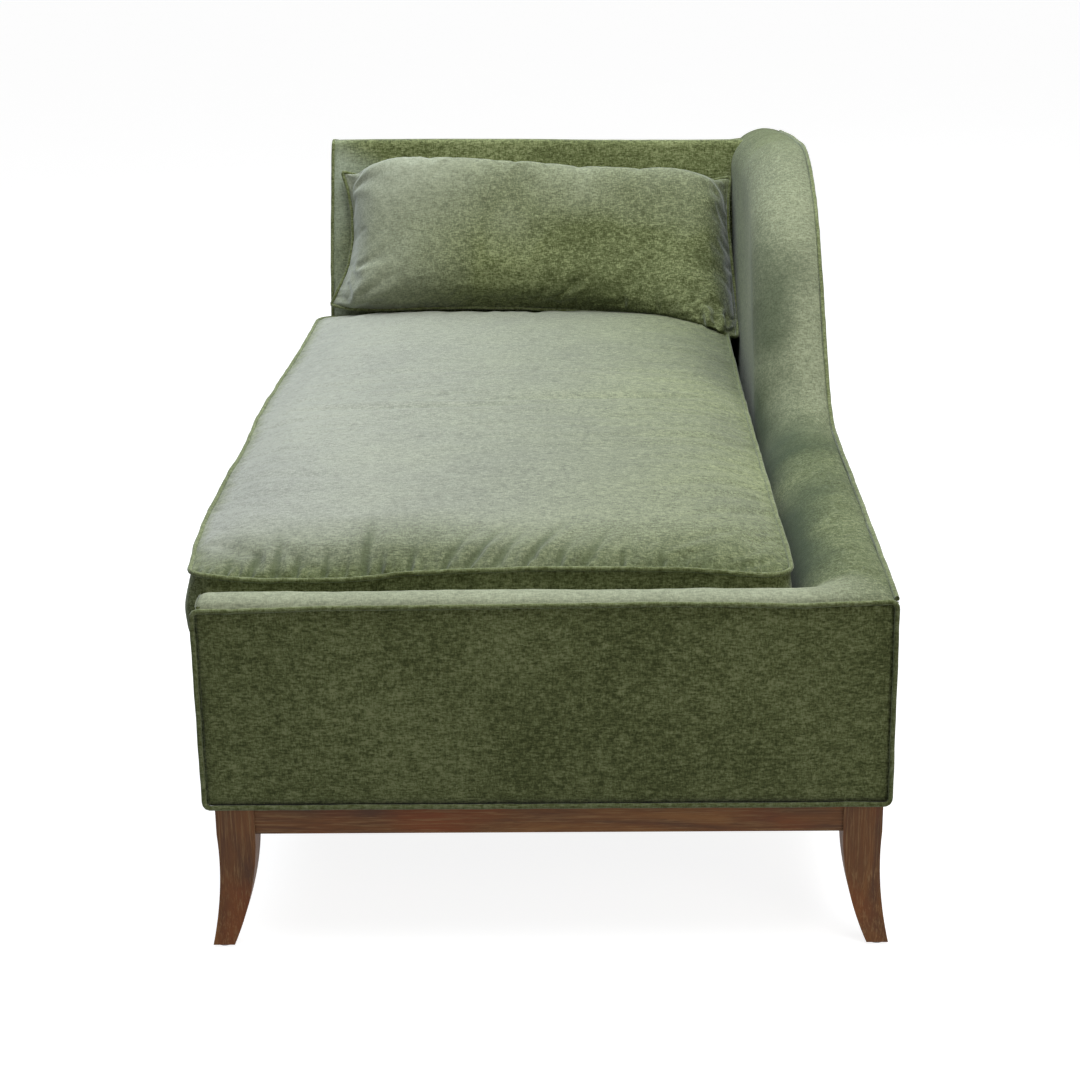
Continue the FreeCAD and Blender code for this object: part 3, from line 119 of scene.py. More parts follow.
# Creases of the pillow: start and end as shares of its face, depth and width
CREASES = [
    (0.55, 0.08, 0.60, 0.30, 0.0040, 0.006), (0.50, 0.05, 0.53, 0.20, 0.0028, 0.005),
    (0.09, 0.10, 0.17, 0.30, 0.0045, 0.008), (0.05, 0.30, 0.14, 0.42, 0.0026, 0.006),
    (0.90, 0.03, 0.86, 0.24, 0.0050, 0.007), (0.94, 0.05, 0.92, 0.30, 0.0050, 0.006),
    (0.97, 0.10, 0.955, 0.36, 0.0040, 0.005), (0.30, 0.04, 0.33, 0.16, 0.0022, 0.005),
    (0.70, 0.04, 0.68, 0.18, 0.0024, 0.005), (0.42, 0.03, 0.43, 0.13, 0.0020, 0.004),
    (0.03, 0.80, 0.13, 0.70, 0.0030, 0.006), (0.96, 0.82, 0.88, 0.72, 0.0026, 0.006),
    (0.78, 0.03, 0.765, 0.15, 0.0022, 0.005),
]


def back_face(z):
    """Depth of the back's inner face."""
    return FRONT + SEAT_LENGTH + (z - 0.470) * BACK_SLANT


def outer_face(z):
    """Depth of the back's outer face."""
    return FRONT + OUTER_RUN - (BACK_TOP - z) * OUTER_SLANT


# Camera

def camera_axes():
    ahead = Vector((math.sin(YAW) * math.cos(PITCH), math.cos(YAW) * math.cos(PITCH), -math.sin(PITCH)))
    right = Vector((math.cos(YAW), -math.sin(YAW), 0))
    up = right.cross(ahead)
    c, s = math.cos(ROLL), math.sin(ROLL)
    return c * right + s * up, -s * right + c * up, ahead


def make_camera():
    right, up, ahead = camera_axes()
    data = bpy.data.cameras.new("camera")
    data.sensor_width = SENSOR
    data.lens = SENSOR * FOCAL / FRAME
    data.clip_end = 60
    camera = bpy.data.objects.new("camera", data)
    scene.collection.objects.link(camera)
    turn = Matrix((right, up, -ahead)).transposed().to_4x4()
    camera.matrix_world = Matrix.Translation(EYE) @ turn
    scene.camera = camera


def seen_at(axis, u, v, place):
    """Where a pixel's line of sight meets the plane on which one coordinate has a given value."""
    right, up, ahead = camera_axes()
    way = ahead + right * ((u - FRAME / 2) / FOCAL) + up * ((FRAME / 2 - v) / FOCAL)
    normal = Vector([float(k == axis) for k in range(3)])
    return EYE + way * ((normal * place - EYE).dot(normal) / way.dot(normal))


make_camera()


# Mesh helpers

def smooth(a, b, x):
    """Soft step from 0 at a to 1 at b."""
    t = np.clip((np.asarray(x, float) - a) / (b - a), 0, 1)
    return t * t * (3 - 2 * t)


def waves(spots, scale, seed):
    """Smooth noise at each point, about -1 to 1."""
    flat = spots.reshape(-1, 3)
    shift = Vector((seed * 7.31, seed * 3.17, seed * 5.71))
    out = np.array([noise.fractal(Vector(p) / scale + shift, 0.8, 2.0, 2) for p in flat])
    return out.reshape(spots.shape[:-1])


def uneven(spots, seed, slow, slow_scale, fine, fine_scale):
    """Slack of a cover: slow waves and fine ones."""
    return slow * waves(spots, slow_scale, seed) + fine * waves(spots, fine_scale, seed + 1)


def bell(x, width):
    return np.exp(-(x / width) ** 2)


def pull(distance, reach=0.007):
    """How far a cover is drawn in at this distance from a seam."""
    return 0.003 * bell(distance, reach)


def points(x, y, z):
    """Grid or row of points from their coordinates, each an array or one number for all."""
    return np.stack(np.broadcast_arrays(x, y, z), axis=-1)


def shares(rows, cols):
    """Shares from 0 to 1 along the rows and along the columns of a grid."""
    return np.meshgrid(np.linspace(0, 1, rows), np.linspace(0, 1, cols), indexing="ij")


def unit(vector):
    return vector / np.linalg.norm(vector)


def normals(grid):
    normal = np.cross(np.gradient(grid, axis=0), np.gradient(grid, axis=1))
    return normal / (np.linalg.norm(normal, axis=2)[:, :, None] + 1e-12)


def borders(grid):
    """The four edges of a grid, in one turn round it."""
    return [grid[:, 0], grid[-1], grid[::-1, -1], grid[0, ::-1]]


def run_along(line):
    """Length along a polyline up to each of its points."""
    return np.concatenate([[0], np.cumsum(np.linalg.norm(np.diff(line, axis=0), axis=1))])


def at_lengths(line, run, lengths):
    return points(*(np.interp(lengths, run, line[:, k]) for k in range(3)))


def resample(line, step):
    """Points at equal steps along a polyline."""
    line = np.asarray(line, float)
    run = run_along(line)
    count = max(2, int(round(run[-1] / step)) + 1)
    return at_lengths(line, run, np.linspace(0, run[-1], count))


def relaxed(line):
    """Polyline with its inner points eased toward their neighbours."""
    line[1:-1] = 0.5 * line[1:-1] + 0.25 * (line[:-2] + line[2:])
    return line


def bends(corners, radii, closed=False, step=0.003):
    """Polyline with round bends at its inner corners, as points."""
    corners = [Vector(c) for c in corners]
    count = len(corners)
    spots = []
    for i, corner in enumerate(corners):
        if not closed and i in (0, count - 1):
            spots.append(corner)
            continue
        radius = radii[i % len(radii)]
        before = (corners[i - 1] - corner).normalized()
        after = (corners[(i + 1) % count] - corner).normalized()
        half = before.angle(after) / 2
        reach = radius / math.tan(half)
        centre = corner + (before + after).normalized() * (radius / math.sin(half))
        a = corner + before * reach - centre
        b = corner + after * reach - centre
        turn = a.angle(b)
        steps = max(3, int(turn * radius / step))
        for k in range(steps + 1):
            t = k / steps
            spots.append(centre + (a * math.sin((1 - t) * turn) + b * math.sin(t * turn)) / math.sin(turn))
    if closed:
        spots.append(spots[0])
    return np.array([tuple(p) for p in spots])


def new_object(name, verts, faces, material):
    mesh = bpy.data.meshes.new(name)
    mesh.from_pydata([tuple(v) for v in verts], [], faces)
    mesh.validate()
    mesh.polygons.foreach_set("use_smooth", [True] * len(mesh.polygons))
    mesh.materials.append(material)
    item = bpy.data.objects.new(name, mesh)
    scene.collection.objects.link(item)
    return item


def weld(item, distance):
    bm = bmesh.new()
    bm.from_mesh(item.data)
    bmesh.ops.remove_doubles(bm, verts=bm.verts, dist=distance)
    bmesh.ops.recalc_face_normals(bm, faces=bm.faces)
    bm.to_mesh(item.data)
    bm.free()
    return item


def grid_faces(rows, cols, start=0, close_rows=False, close_cols=False, flip=False):
    faces = []
    for i in range(rows if close_rows else rows - 1):
        for j in range(cols if close_cols else cols - 1):
            a = start + i * cols + j
            b = start + i * cols + (j + 1) % cols
            c = start + ((i + 1) % rows) * cols + (j + 1) % cols
            d = start + ((i + 1) % rows) * cols + j
            faces.append((a, d, c, b) if flip else (a, b, c, d))
    return faces


def stitched(patches, flips):
    """Vertices and faces of several grids."""
    verts, faces = [], []
    for patch, flip in zip(patches, flips):
        faces += grid_faces(*patch.shape[:2], start=len(verts), flip=flip)
        verts += list(patch.reshape(-1, 3))
    return verts, faces


def sheet(name, grid, material):
    """One surface through a grid of points."""
    return weld(new_object(name, *stitched([grid], [False]), material), 0.00001)


def tube(name, path, closed, wobble, seed):
    """Piped seam along points; slightly uneven, as sewn cloth over a cord is."""
    sides = 12
    path = resample(path, 0.004)
    if closed:
        path = path[:-1]
    count = len(path)
    path = path + wobble * points(*(waves(path, 0.05, seed + k) for k in range(3)))
    tangent = np.roll(path, -1, 0) - np.roll(path, 1, 0) if closed else np.gradient(path, axis=0)
    tangent /= np.linalg.norm(tangent, axis=1)[:, None]
    across = (0, 0, 1) if abs(tangent[0][Z]) < 0.8 else (0, 1, 0)
    side = [unit(np.cross(tangent[0], across))]
    for way in tangent[1:]:
        side.append(unit(side[-1] - way * side[-1].dot(way)))
    twist = 0.0
    if closed:
        last = unit(side[-1] - tangent[0] * side[-1].dot(tangent[0]))
        twist = math.atan2(np.cross(last, side[0]).dot(tangent[0]), last.dot(side[0]))
    other = np.cross(tangent, side)
    swell = WELT * (1 + 0.05 * waves(path, 0.018, seed + 9))
    turn = 2 * np.pi * np.arange(sides) / sides + twist * np.arange(count)[:, None] / count
    ring = np.cos(turn)[:, :, None] * np.array(side)[:, None] + np.sin(turn)[:, :, None] * other[:, None]
    verts = list((path[:, None] + swell[:, None, None] * ring).reshape(-1, 3))
    faces = grid_faces(count, sides, close_rows=closed, close_cols=True, flip=True)
    if not closed:
        for row, way in ((0, 1), (count - 1, -1)):
            tip = len(verts)
            verts.append(path[row] - tangent[row] * WELT * 0.6 * way)
            for k in range(sides):
                a, b = row * sides + k, row * sides + (k + 1) % sides
                faces.append((tip, b, a) if way > 0 else (tip, a, b))
    return new_object(name, verts, faces, PIPING)


def sew_welt(node, path, body, wobble, seed, closed=False):
    """Piped seam in place of its CAD node."""
    piece = tube(node + "_piping", path, closed, wobble, seed)
    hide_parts(node)
    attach(piece, body)


def upholster(piece, fill, body, *nodes):
    """Hides the CAD nodes that a padded piece stands for and attaches the piece to the body that it moves with.
    """
    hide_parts(*nodes)
    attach(piece, body)


# Materials

def linear(r, g, b):
    """A colour written as it looks, 0 to 255, as scene-linear."""
    return tuple(((c / 255 + 0.055) / 1.055) ** 2.4 if c > 10 else c / 255 / 12.92 for c in (r, g, b)) + (1.0,)


class Nodes:
    """Short writing of the nodes of a material or a world."""

    def __init__(self, owner):
        owner.use_nodes = True
        self.owner = owner
        self.tree = owner.node_tree
        self.shader = self.tree.nodes.get("Principled BSDF")

    def add(self, kind, **inputs):
        node = self.tree.nodes.new(kind)
        for key, value in inputs.items():
            self.put(node.inputs[key.replace("_", " ")], value)
        return node

    def put(self, socket, value):
        if isinstance(value, bpy.types.NodeSocket):
            self.tree.links.new(value, socket)
        else:
            socket.default_value = value

    def place(self):
        return self.add("ShaderNodeTexCoord").outputs["Object"]

    def stretched(self, scale, offset=(0, 0, 0)):
        node = self.add("ShaderNodeMapping", Vector=self.place(), Scale=scale, Location=offset)
        return node.outputs["Vector"]

    def noise(self, scale, detail=2.0, roughness=0.5, offset=(0, 0, 0), distortion=0.0):
        node = self.add("ShaderNodeTexNoise", Vector=self.stretched(scale, offset), Scale=1.0,
                        Detail=detail, Roughness=roughness, Distortion=distortion)
        return node.outputs["Fac"]

    def math(self, operation, a, b=0.0, clamp=False):
        node = self.add("ShaderNodeMath")
        node.operation = operation
        node.use_clamp = clamp
        self.put(node.inputs[0], a)
        self.put(node.inputs[1], b)
        return node.outputs[0]

    def weighted(self, *terms):
        """Sum of (value, weight) terms."""
        parts = [self.math("MULTIPLY", value, weight) for value, weight in terms]
        total = parts[0]
        for part in parts[1:]:
            total = self.math("ADD", total, part)
        return total

    def blend(self, colour, over, factor, share=None):
        """One colour over another by a factor, or by a share of it."""
        if share is not None:
            factor = self.math("MULTIPLY", factor, share, True)
        node = self.add("ShaderNodeMix")
        node.data_type = "RGBA"
        self.put(node.inputs[0], factor)
        self.put(node.inputs[6], colour)
        self.put(node.inputs[7], over)
        return node.outputs[2]

    def ramp(self, factor, *stops):
        """Colours at rising positions."""
        node = self.add("ShaderNodeValToRGB", Fac=factor)
        elements = node.color_ramp.elements
        for position, colour in stops[1:-1]:
            elements.new(position)
        for element, (position, colour) in zip(elements, stops):
            element.position = position
            element.color = colour
        return node.outputs["Color"]

    def grey(self, factor, low, high):
        """Factor stretched so that low gives 0 and high gives 1."""
        return self.add("ShaderNodeMapRange", Value=factor, From_Min=low, From_Max=high).outputs[0]

    def seen(self):
        """1 for rays on which the pale background shows: straight, mirrored or through glass."""
        rays = self.add("ShaderNodeLightPath").outputs
        mirrored = self.math("MAXIMUM", rays["Is Camera Ray"], rays["Is Glossy Ray"])
        return self.math("MAXIMUM", mirrored, rays["Is Transmission Ray"])

    def finish(self, colour, roughness, height, distance, strength, **sockets):
        """Wires the shader; distance and strength are those of the bump."""
        self.put(self.shader.inputs["Base Color"], colour)
        self.put(self.shader.inputs["Roughness"], roughness)
        for key, value in sockets.items():
            self.shader.inputs[key.replace("_", " ")].default_value = value
        bump = self.add("ShaderNodeBump", Height=height, Distance=distance, Strength=strength)
        self.put(self.shader.inputs["Normal"], bump.outputs["Normal"])
        return self.owner


def material(name):
    return Nodes(bpy.data.materials.new(name))


def velvet(name, dark, middle, light, sheen=0.5, worn=0.0, painted_highlight=(), painted_shade=(), pale=None, folds=False):
    """Crushed chenille velvet: mottled pile, short crossed flecks, pale sheen and rubbed nap.

    The zones of the first list are painted paler, a painted highlight for sheen and light falling there; those
    of the second are painted darker, a painted shade. Each is its share and then ranges (axis, none, full),
    multiplied together.
    folds darkens by the shade stored in the mesh, in fold valleys and along the front seam: painted shade.
    """
    n = material(name)
    cloud = n.noise((5, 5, 5), 2, 0.5)
    patch = n.noise((70, 110, 110), 6, 0.78, (3, 1, 7), 0.2)
    dash_x = n.noise((130, 420, 420), 3, 0.7, (11, 5, 2))
    dash_y = n.noise((520, 170, 170), 3, 0.7, (5, 9, 4))
    tone = n.weighted((cloud, 0.12), (patch, 0.26), (dash_x, 0.36), (dash_y, 0.26))
    stops = zip((0.0, 0.5, 1.0), (linear(*dark), linear(*middle), linear(*light)))
    colour = n.ramp(n.grey(tone, 0.425, 0.575), *stops)
    if worn:
        rub = n.noise((210, 120, 210), 4, 0.7, (2, 8, 3), 1.0)
        colour = n.blend(colour, linear(146, 154, 124), n.grey(rub, 0.52, 0.72), worn)
    split = n.add("ShaderNodeSeparateXYZ", Vector=n.place())
    drift = n.math("MULTIPLY", n.math("ADD", cloud, -0.5), 0.25)

    def zone(specs):
        total = 0.0
        for share, *ranges in specs:
            part = share
            for axis, none, full in ranges:
                place = split.outputs[axis]
                if abs(full - none) > 0.05:
                    place = n.math("ADD", place, drift)
                part = n.math("MULTIPLY", n.grey(place, none, full), part)
            total = n.math("ADD", part, total)
        return total

    # Painted highlight: paler colour in the listed zones, standing in for sheen and for light falling there
    if painted_highlight:
        highlight_mottle = n.math("ADD", n.math("MULTIPLY", n.grey(tone, 0.42, 0.58), 0.5), 0.6)
        colour = n.blend(colour, linear(*pale), zone(painted_highlight), highlight_mottle)
    # Painted shade: darker colour in the listed zones, where shade falls
    if painted_shade:
        colour = n.blend(colour, linear(50, 62, 42), zone(painted_shade))
    # Painted shade in the fold valleys and along the front seam, from the values stored in the mesh
    if folds:
        fold_shade = n.add("ShaderNodeAttribute")
        fold_shade.attribute_name = "painted_fold_shade"
        colour = n.blend(colour, linear(62, 71, 42), fold_shade.outputs["Fac"], 0.65)
    height = n.weighted((dash_x, 0.6), (dash_y, 0.5), (patch, 0.4))
    return n.finish(colour, n.grey(patch, -1.4, 1.0), height, 0.0008, 0.6, Sheen_Weight=sheen,
                    Sheen_Roughness=0.42, Sheen_Tint=(0.90, 0.94, 0.96, 1.0), Specular_IOR_Level=0.10)


def wood(name, axis, seed):
    """Limed hardwood: brown with reddish patches and pale open grain along one axis."""
    n = material(name)

    def along(fine, coarse):
        return tuple(coarse if k == axis else fine for k in range(3))

    shift = (seed, seed * 0.7, seed * 1.3)
    figure = n.noise(along(26, 3.5), 4, 0.6, shift, 1.2)
    red = n.noise(along(9, 5), 2, 0.5, (seed + 4, 2, seed))
    grain = n.noise(along(420, 14), 4, 0.7, shift, 0.3)
    pore = n.noise(along(1300, 45), 2, 0.5, shift)
    body = n.ramp(n.grey(figure, 0.35, 0.68), (0.0, linear(76, 44, 20)), (0.55, linear(112, 70, 34)),
                  (1.0, linear(138, 94, 52)))
    body = n.blend(body, linear(130, 67, 28), n.grey(red, 0.50, 0.70))
    body = n.blend(body, linear(172, 138, 98), n.grey(grain, 0.50, 0.70), 0.6)
    body = n.blend(body, linear(52, 31, 17), n.grey(pore, 0.56, 0.78), 0.6)
    height = n.weighted((grain, 0.8), (pore, 0.5))
    return n.finish(body, n.grey(grain, -0.9, 1.5), height, 0.0006, 0.5, Specular_IOR_Level=0.35)


def plain_wood(name, axis, light=(188, 158, 118), dark=(150, 118, 80)):
    """Unfinished wood of the inner frame."""
    n = material(name)
    fine = tuple(8 if k == axis else 160 for k in range(3))
    grain = n.noise(fine, 5, 0.65, (1, 2, 3), 0.5)
    colour = n.ramp(n.grey(grain, 0.35, 0.65), (0.0, linear(*dark)), (1.0, linear(*light)))
    return n.finish(colour, 0.62, grain, 0.0004, 0.4)


def woven(name, colour, second, pitch):
    """Plain woven cloth, webbing or tape."""
    n = material(name)
    threads = []
    for way in "XY":
        wave = n.add("ShaderNodeTexWave", Vector=n.stretched((1, 1, 1)), Scale=pitch / 20)
        wave.bands_direction = way
        threads.append(wave.outputs["Fac"])
    weave = n.math("MULTIPLY", *threads)
    mixed = n.weighted((weave, 0.6), (n.noise((60, 60, 60), 4, 0.6), 0.5))
    return n.finish(n.ramp(mixed, (0.15, linear(*colour)), (0.9, linear(*second))), 0.9, weave, 0.0003, 0.5)


def foam(name, colour):
    n = material(name)
    cells = n.noise((900, 900, 900), 2, 0.7)
    dark = linear(*(int(c * 0.82) for c in colour))
    return n.finish(n.ramp(cells, (0.35, dark), (0.7, linear(*colour))), 0.95, cells, 0.0006, 0.6)


def metal(name, colour):
    n = material(name)
    scuff = n.noise((300, 300, 300), 4, 0.7)
    dark = linear(*(int(c * 0.8) for c in colour))
    return n.finish(n.ramp(scuff, (0.3, dark), (0.7, linear(*colour))), n.grey(scuff, -0.8, 2.6),
                    scuff, 0.0002, 0.3, Metallic=1.0)


DARK, MIDDLE, LIGHT = (62, 68, 34), (99, 107, 66), (138, 145, 102)
VELVET = velvet("sage_velvet", DARK, MIDDLE, LIGHT)
# The arm's copy: painted highlight on the footboard's top and along the arm's sweep, painted shade on its inner
# wall beside the seat cushion
ARM_VELVET = velvet(
    "sage_velvet_arm", (58, 66, 38), (84, 92, 60), (118, 126, 92), sheen=0.10, worn=0.5, pale=(172, 176, 152),
    painted_highlight=[(0.62, ("Y", -0.772, -0.792), ("X", 0.42, 0.30)), (0.36, ("Y", -0.25, -0.05), ("Y", 0.52, 0.22))],
    painted_shade=[(0.85, ("X", 0.395, 0.335), ("Y", 0.25, -0.05), ("Y", -0.79, -0.69))])
# The seat's copy: painted highlight toward the crown's left side, painted shade in its fold valleys
SEAT_VELVET = velvet(
    "sage_velvet_seat", DARK, (99, 107, 70), (136, 143, 102), sheen=0.25, folds=True, pale=(168, 169, 164),
    painted_highlight=[(0.84, ("X", 0.40, -0.50), ("Z", 0.462, 0.472), ("Y", -0.84, -0.62))])
# The pillow's copy: painted highlight at its left end and along its top
PILLOW_VELVET = velvet(
    "sage_velvet_pillow", DARK, (94, 101, 64), LIGHT, sheen=0.45, pale=(158, 163, 143),
    painted_highlight=[(0.95, ("X", -0.10, -0.42)), (0.6, ("Z", 0.62, 0.78))])
# The back's copy: painted highlight along its left edge
BACK_VELVET = velvet(
    "sage_velvet_back", DARK, MIDDLE, LIGHT, pale=(164, 173, 152),
    painted_highlight=[(1.0, ("X", -0.33, -0.42), ("Z", 0.79, 0.69))])
PIPING = velvet("velvet_piping", (74, 80, 44), (104, 112, 74), (132, 139, 102), sheen=0.3)


# Arm and footboard

def arm_edge():
    """Outer top edge of the arm as (y, z) points from the front to the rear face."""
    fall = (ARM_TOP - BACK_TOP) / (OUTER_RUN - SWEEP_END)
    start = FRONT + SWEEP_END
    reach = FRONT + OUTER_RUN + 0.03
    corners = [(0, FRONT, FOOT_TOP), (0, FRONT + LOW_RUN, LOW_RUN_TOP), (0, start, ARM_TOP),
               (0, reach, ARM_TOP - (reach - start) * fall)]
    line = resample(bends(corners, SWEEP_RADII, step=0.004), 0.006)
    line[:, Z] -= REAR_FALL * smooth(0.60, 0.857, line[:, Y])
    return line[:, 1:]


EDGE = arm_edge()


def arm_top(y):
    return np.interp(y, EDGE[:, 0], EDGE[:, 1])


def roll_shape(width, roll, count):
    """Share across and drop below the top edge, along the rounded edge."""
    radius = (width ** 2 + roll ** 2) / (2 * width)
    centre = width - radius
    angles = np.linspace(math.atan2(roll, -centre), 0, count)
    return (centre + radius * np.cos(angles)) / width, radius * np.sin(angles) - roll


def arm_body():
    """Cover of the footboard's top and the arm's inside, as one sweep round the corner."""
    rolled, upright = 20, 26
    mitre, mitre_steps = 0.085, 22

    def section(x_out, y_out, x_in, y_in, share, slim=0.0):
        """Points over the roll and down, share of the way from the footboard's section to the arm's."""
        roll = FOOT_ROLL + (ARM_ROLL - FOOT_ROLL) * share - 0.6 * slim
        across, drop = roll_shape(FOOT_WIDTH + (ARM_WIDTH - FOOT_WIDTH) * share - slim, roll, rolled)
        across = np.concatenate([across, np.ones(upright)])
        top = float(arm_top(y_out))
        z = np.concatenate([top + drop, np.linspace(top - roll, COVER_LOW, upright + 1)[1:]])
        return points(x_out + (x_in - x_out) * across, y_out + (y_in - y_out) * across, z)

    start, end = ARM_IN - mitre, FOOT_IN + mitre
    rows = [section(x, FRONT, x, FOOT_IN, 0.0) for x in np.arange(LEFT, start, 0.006)]
    first = len(rows)
    turn = np.arange(mitre_steps) / mitre_steps
    rows += [section(start + (RIGHT - start) * t, FRONT, start + mitre * t, FOOT_IN, t / 2) for t in turn]
    rows += [section(RIGHT, FRONT + (end - FRONT) * t, ARM_IN, FOOT_IN + mitre * t, (1 + t) / 2) for t in turn]
    last = len(rows)
    rear = float(outer_face(0.775)) - 0.003
    path = EDGE[(EDGE[:, 0] > end) & (EDGE[:, 0] < rear)]
    path = np.vstack([[end, arm_top(end)], path, [rear, arm_top(rear)]])
    run = run_along(path)
    for s in np.linspace(0, run[-1], int(run[-1] / 0.007)):
        y = float(np.interp(s, run, path[:, 0]))
        slim = SLIM * float(smooth(-0.15, 0.35, y))
        rows.append(section(RIGHT, y, ARM_IN + slim, y, 1.0, slim))
    grid = np.array(rows)
    # The inner corner and the roll's change of size are eased
    spot, index = np.arange(len(grid)), np.arange(rolled + upright)
    zone = smooth(first - 14, first + 6, spot) * (1 - smooth(last - 6, last + 14, spot))
    weight = zone[:, None, None] * smooth(0, 5, index)[None, :, None]
    for _ in range(60):
        soft = (np.roll(grid, 1, 0) + np.roll(grid, -1, 0)) / 2
        soft[0], soft[-1] = grid[0], grid[-1]
        grid = grid + 0.5 * weight * (soft - grid)
    # Padding: a fuller roll, slow unevenness, and the pull into the piped seam
    full = 0.0028 * np.sin(np.pi * np.clip(index / (rolled + 6), 0, 1))
    full = full * (1 - 0.8 * smooth(0.3, 0.7, grid[:, :, Y]))
    full = full + uneven(grid, 2.0, 0.0014, 0.16, 0.0006, 0.035) - pull(index * 0.0075, 0.006)
    grid = grid + normals(grid) * full[:, :, None]
    grid[:, :, Y] = np.minimum(grid[:, :, Y], outer_face(grid[:, :, Z]) - 0.004)
    # Rounded left end of the footboard's top
    near = 1 - smooth(0, 0.012, grid[:, :, X] - LEFT)
    grid[:, :, Z] -= 0.006 * near * near * (index < rolled)
    return sheet("arm_and_footboard_upholstery", grid, ARM_VELVET)


def stand(grid, lengths, *slack):
    """How far a flat panel stands out: sunk at its seams, slightly full in the middle, and uneven."""
    sink, rim, fullness = 0.004, 0.009, 0.0045
    a, b = shares(*grid.shape[:2])
    near = np.minimum(np.minimum(a, 1 - a) * lengths[0], np.minimum(b, 1 - b) * lengths[1])
    full = (1 - (2 * a - 1) ** 4) * (1 - (2 * b - 1) ** 4)
    return fullness * full - sink * bell(near, rim) ** 3 + uneven(grid, *slack)


def front_panel():
    a, b = shares(180, 60)
    edge = LEFT - 0.0015
    grid = points(edge + (RIGHT - edge) * a, FRONT, BOTTOM + (FOOT_TOP - BOTTOM) * b)
    grid[:, :, Y] -= stand(grid, (0.84, 0.26), 5.0, 0.0009, 0.12, 0.0004, 0.03)
    return sheet("front_panel", grid, VELVET)


def arm_side():
    a, b = shares(240, 60)
    y = FRONT + (outer_face(0.4) - FRONT) * a
    z = BOTTOM + (arm_top(np.minimum(y, outer_face(0.77))) - BOTTOM) * b
    y = FRONT + (outer_face(z) - FRONT) * a
    grid = points(RIGHT, y, BOTTOM + (arm_top(y) - BOTTOM) * b)
    grid[:, :, X] += stand(grid, (1.7, 0.4), 8.0, 0.0012, 0.18, 0.0004, 0.04)
    return sheet("arm_side_panel", grid, VELVET)


# Open side and back

def roll_height(x):
    """Height of the arm's rounded top over a point across it, at the rear."""
    return REAR_CENTRE[1] + np.sqrt(np.clip(REAR_RADIUS ** 2 - (x - REAR_CENTRE[0]) ** 2, 0, None))


def lean_in(z):
    """How far the back's open side leans inward with height."""
    return 0.0055 * np.clip((z - 0.55) / (BACK_TOP - 0.55), 0, 1)


def top_fall(x, y):
    """How far the back's soft top drops toward the rear and toward the arm."""
    rear = np.clip((y - back_face(BACK_TOP)) / 0.078, 0, 1)
    return 0.012 * rear + 0.008 * smooth(LEFT + 0.1, ARM_IN, x)


def distance_to(flat, outline):
    """Distance of each (y, z) point to a closed polyline."""
    corners = np.asarray(outline)
    best = np.full(flat.shape[:-1], np.inf)
    for p, q in zip(corners, np.roll(corners, -1, 0)):
        way = q - p
        t = np.clip((flat - p) @ way / (way @ way), 0, 1)
        best = np.minimum(best, np.linalg.norm(flat - (p + t[..., None] * way), axis=-1))
    return best


def open_side():
    """One cloth over the open side: end of the footboard, seat edge and side of the back."""
    lip = 0.018
    across, drop = roll_shape(FOOT_WIDTH, FOOT_ROLL, 14)
    roll_y, roll_z = FRONT + FOOT_WIDTH * across, FOOT_TOP + drop
    a, b = shares(15, 46)
    y = FRONT + (FOOT_IN - FRONT) * a
    foot = np.stack([y, BOTTOM + (np.interp(y, roll_y, roll_z) - BOTTOM) * b], axis=2)
    a, b = shares(220, 34)
    z = BOTTOM + (DECK - BOTTOM) * b
    seat = np.stack([FOOT_IN + (back_face(z) - FOOT_IN) * a, z], axis=2)
    a, b = shares(24, 96)
    z = BOTTOM + (BACK_TOP - BOTTOM) * b
    over = np.clip(z - (BACK_TOP - lip), 0, lip)
    front = back_face(z) + lip - np.sqrt(lip ** 2 - over ** 2)
    back = np.stack([front + (outer_face(z) - front) * a, z], axis=2)
    outline = [(FRONT, BOTTOM), (FRONT, FOOT_TOP), *zip(roll_y[1:], roll_z[1:]), (FOOT_IN, DECK),
               (back_face(DECK), DECK), (back_face(BACK_TOP - lip), BACK_TOP - lip),
               (back_face(BACK_TOP) + 0.012, BACK_TOP), (outer_face(BACK_TOP), BACK_TOP),
               (outer_face(BOTTOM), BOTTOM)]
    patches = []
    for flat in (foot, seat, back):
        near = distance_to(flat, outline)
        y, z = flat[:, :, 0], flat[:, :, 1]
        fall = top_fall(LEFT, y) * smooth(BACK_TOP - 0.12, BACK_TOP, z)
        grid = points(LEFT + lean_in(z), y, z - fall)
        out = 0.0035 * smooth(0, 0.07, near) - pull(near) + 0.0004 * waves(grid, 0.035, 13.0)
        grid[:, :, X] -= out + 0.0012 * waves(grid, 0.15, 12.0) * smooth(0, 0.05, near)
        patches.append(grid)
    return weld(new_object("open_side_panel", *stitched(patches, [True] * 3), VELVET), 0.002)


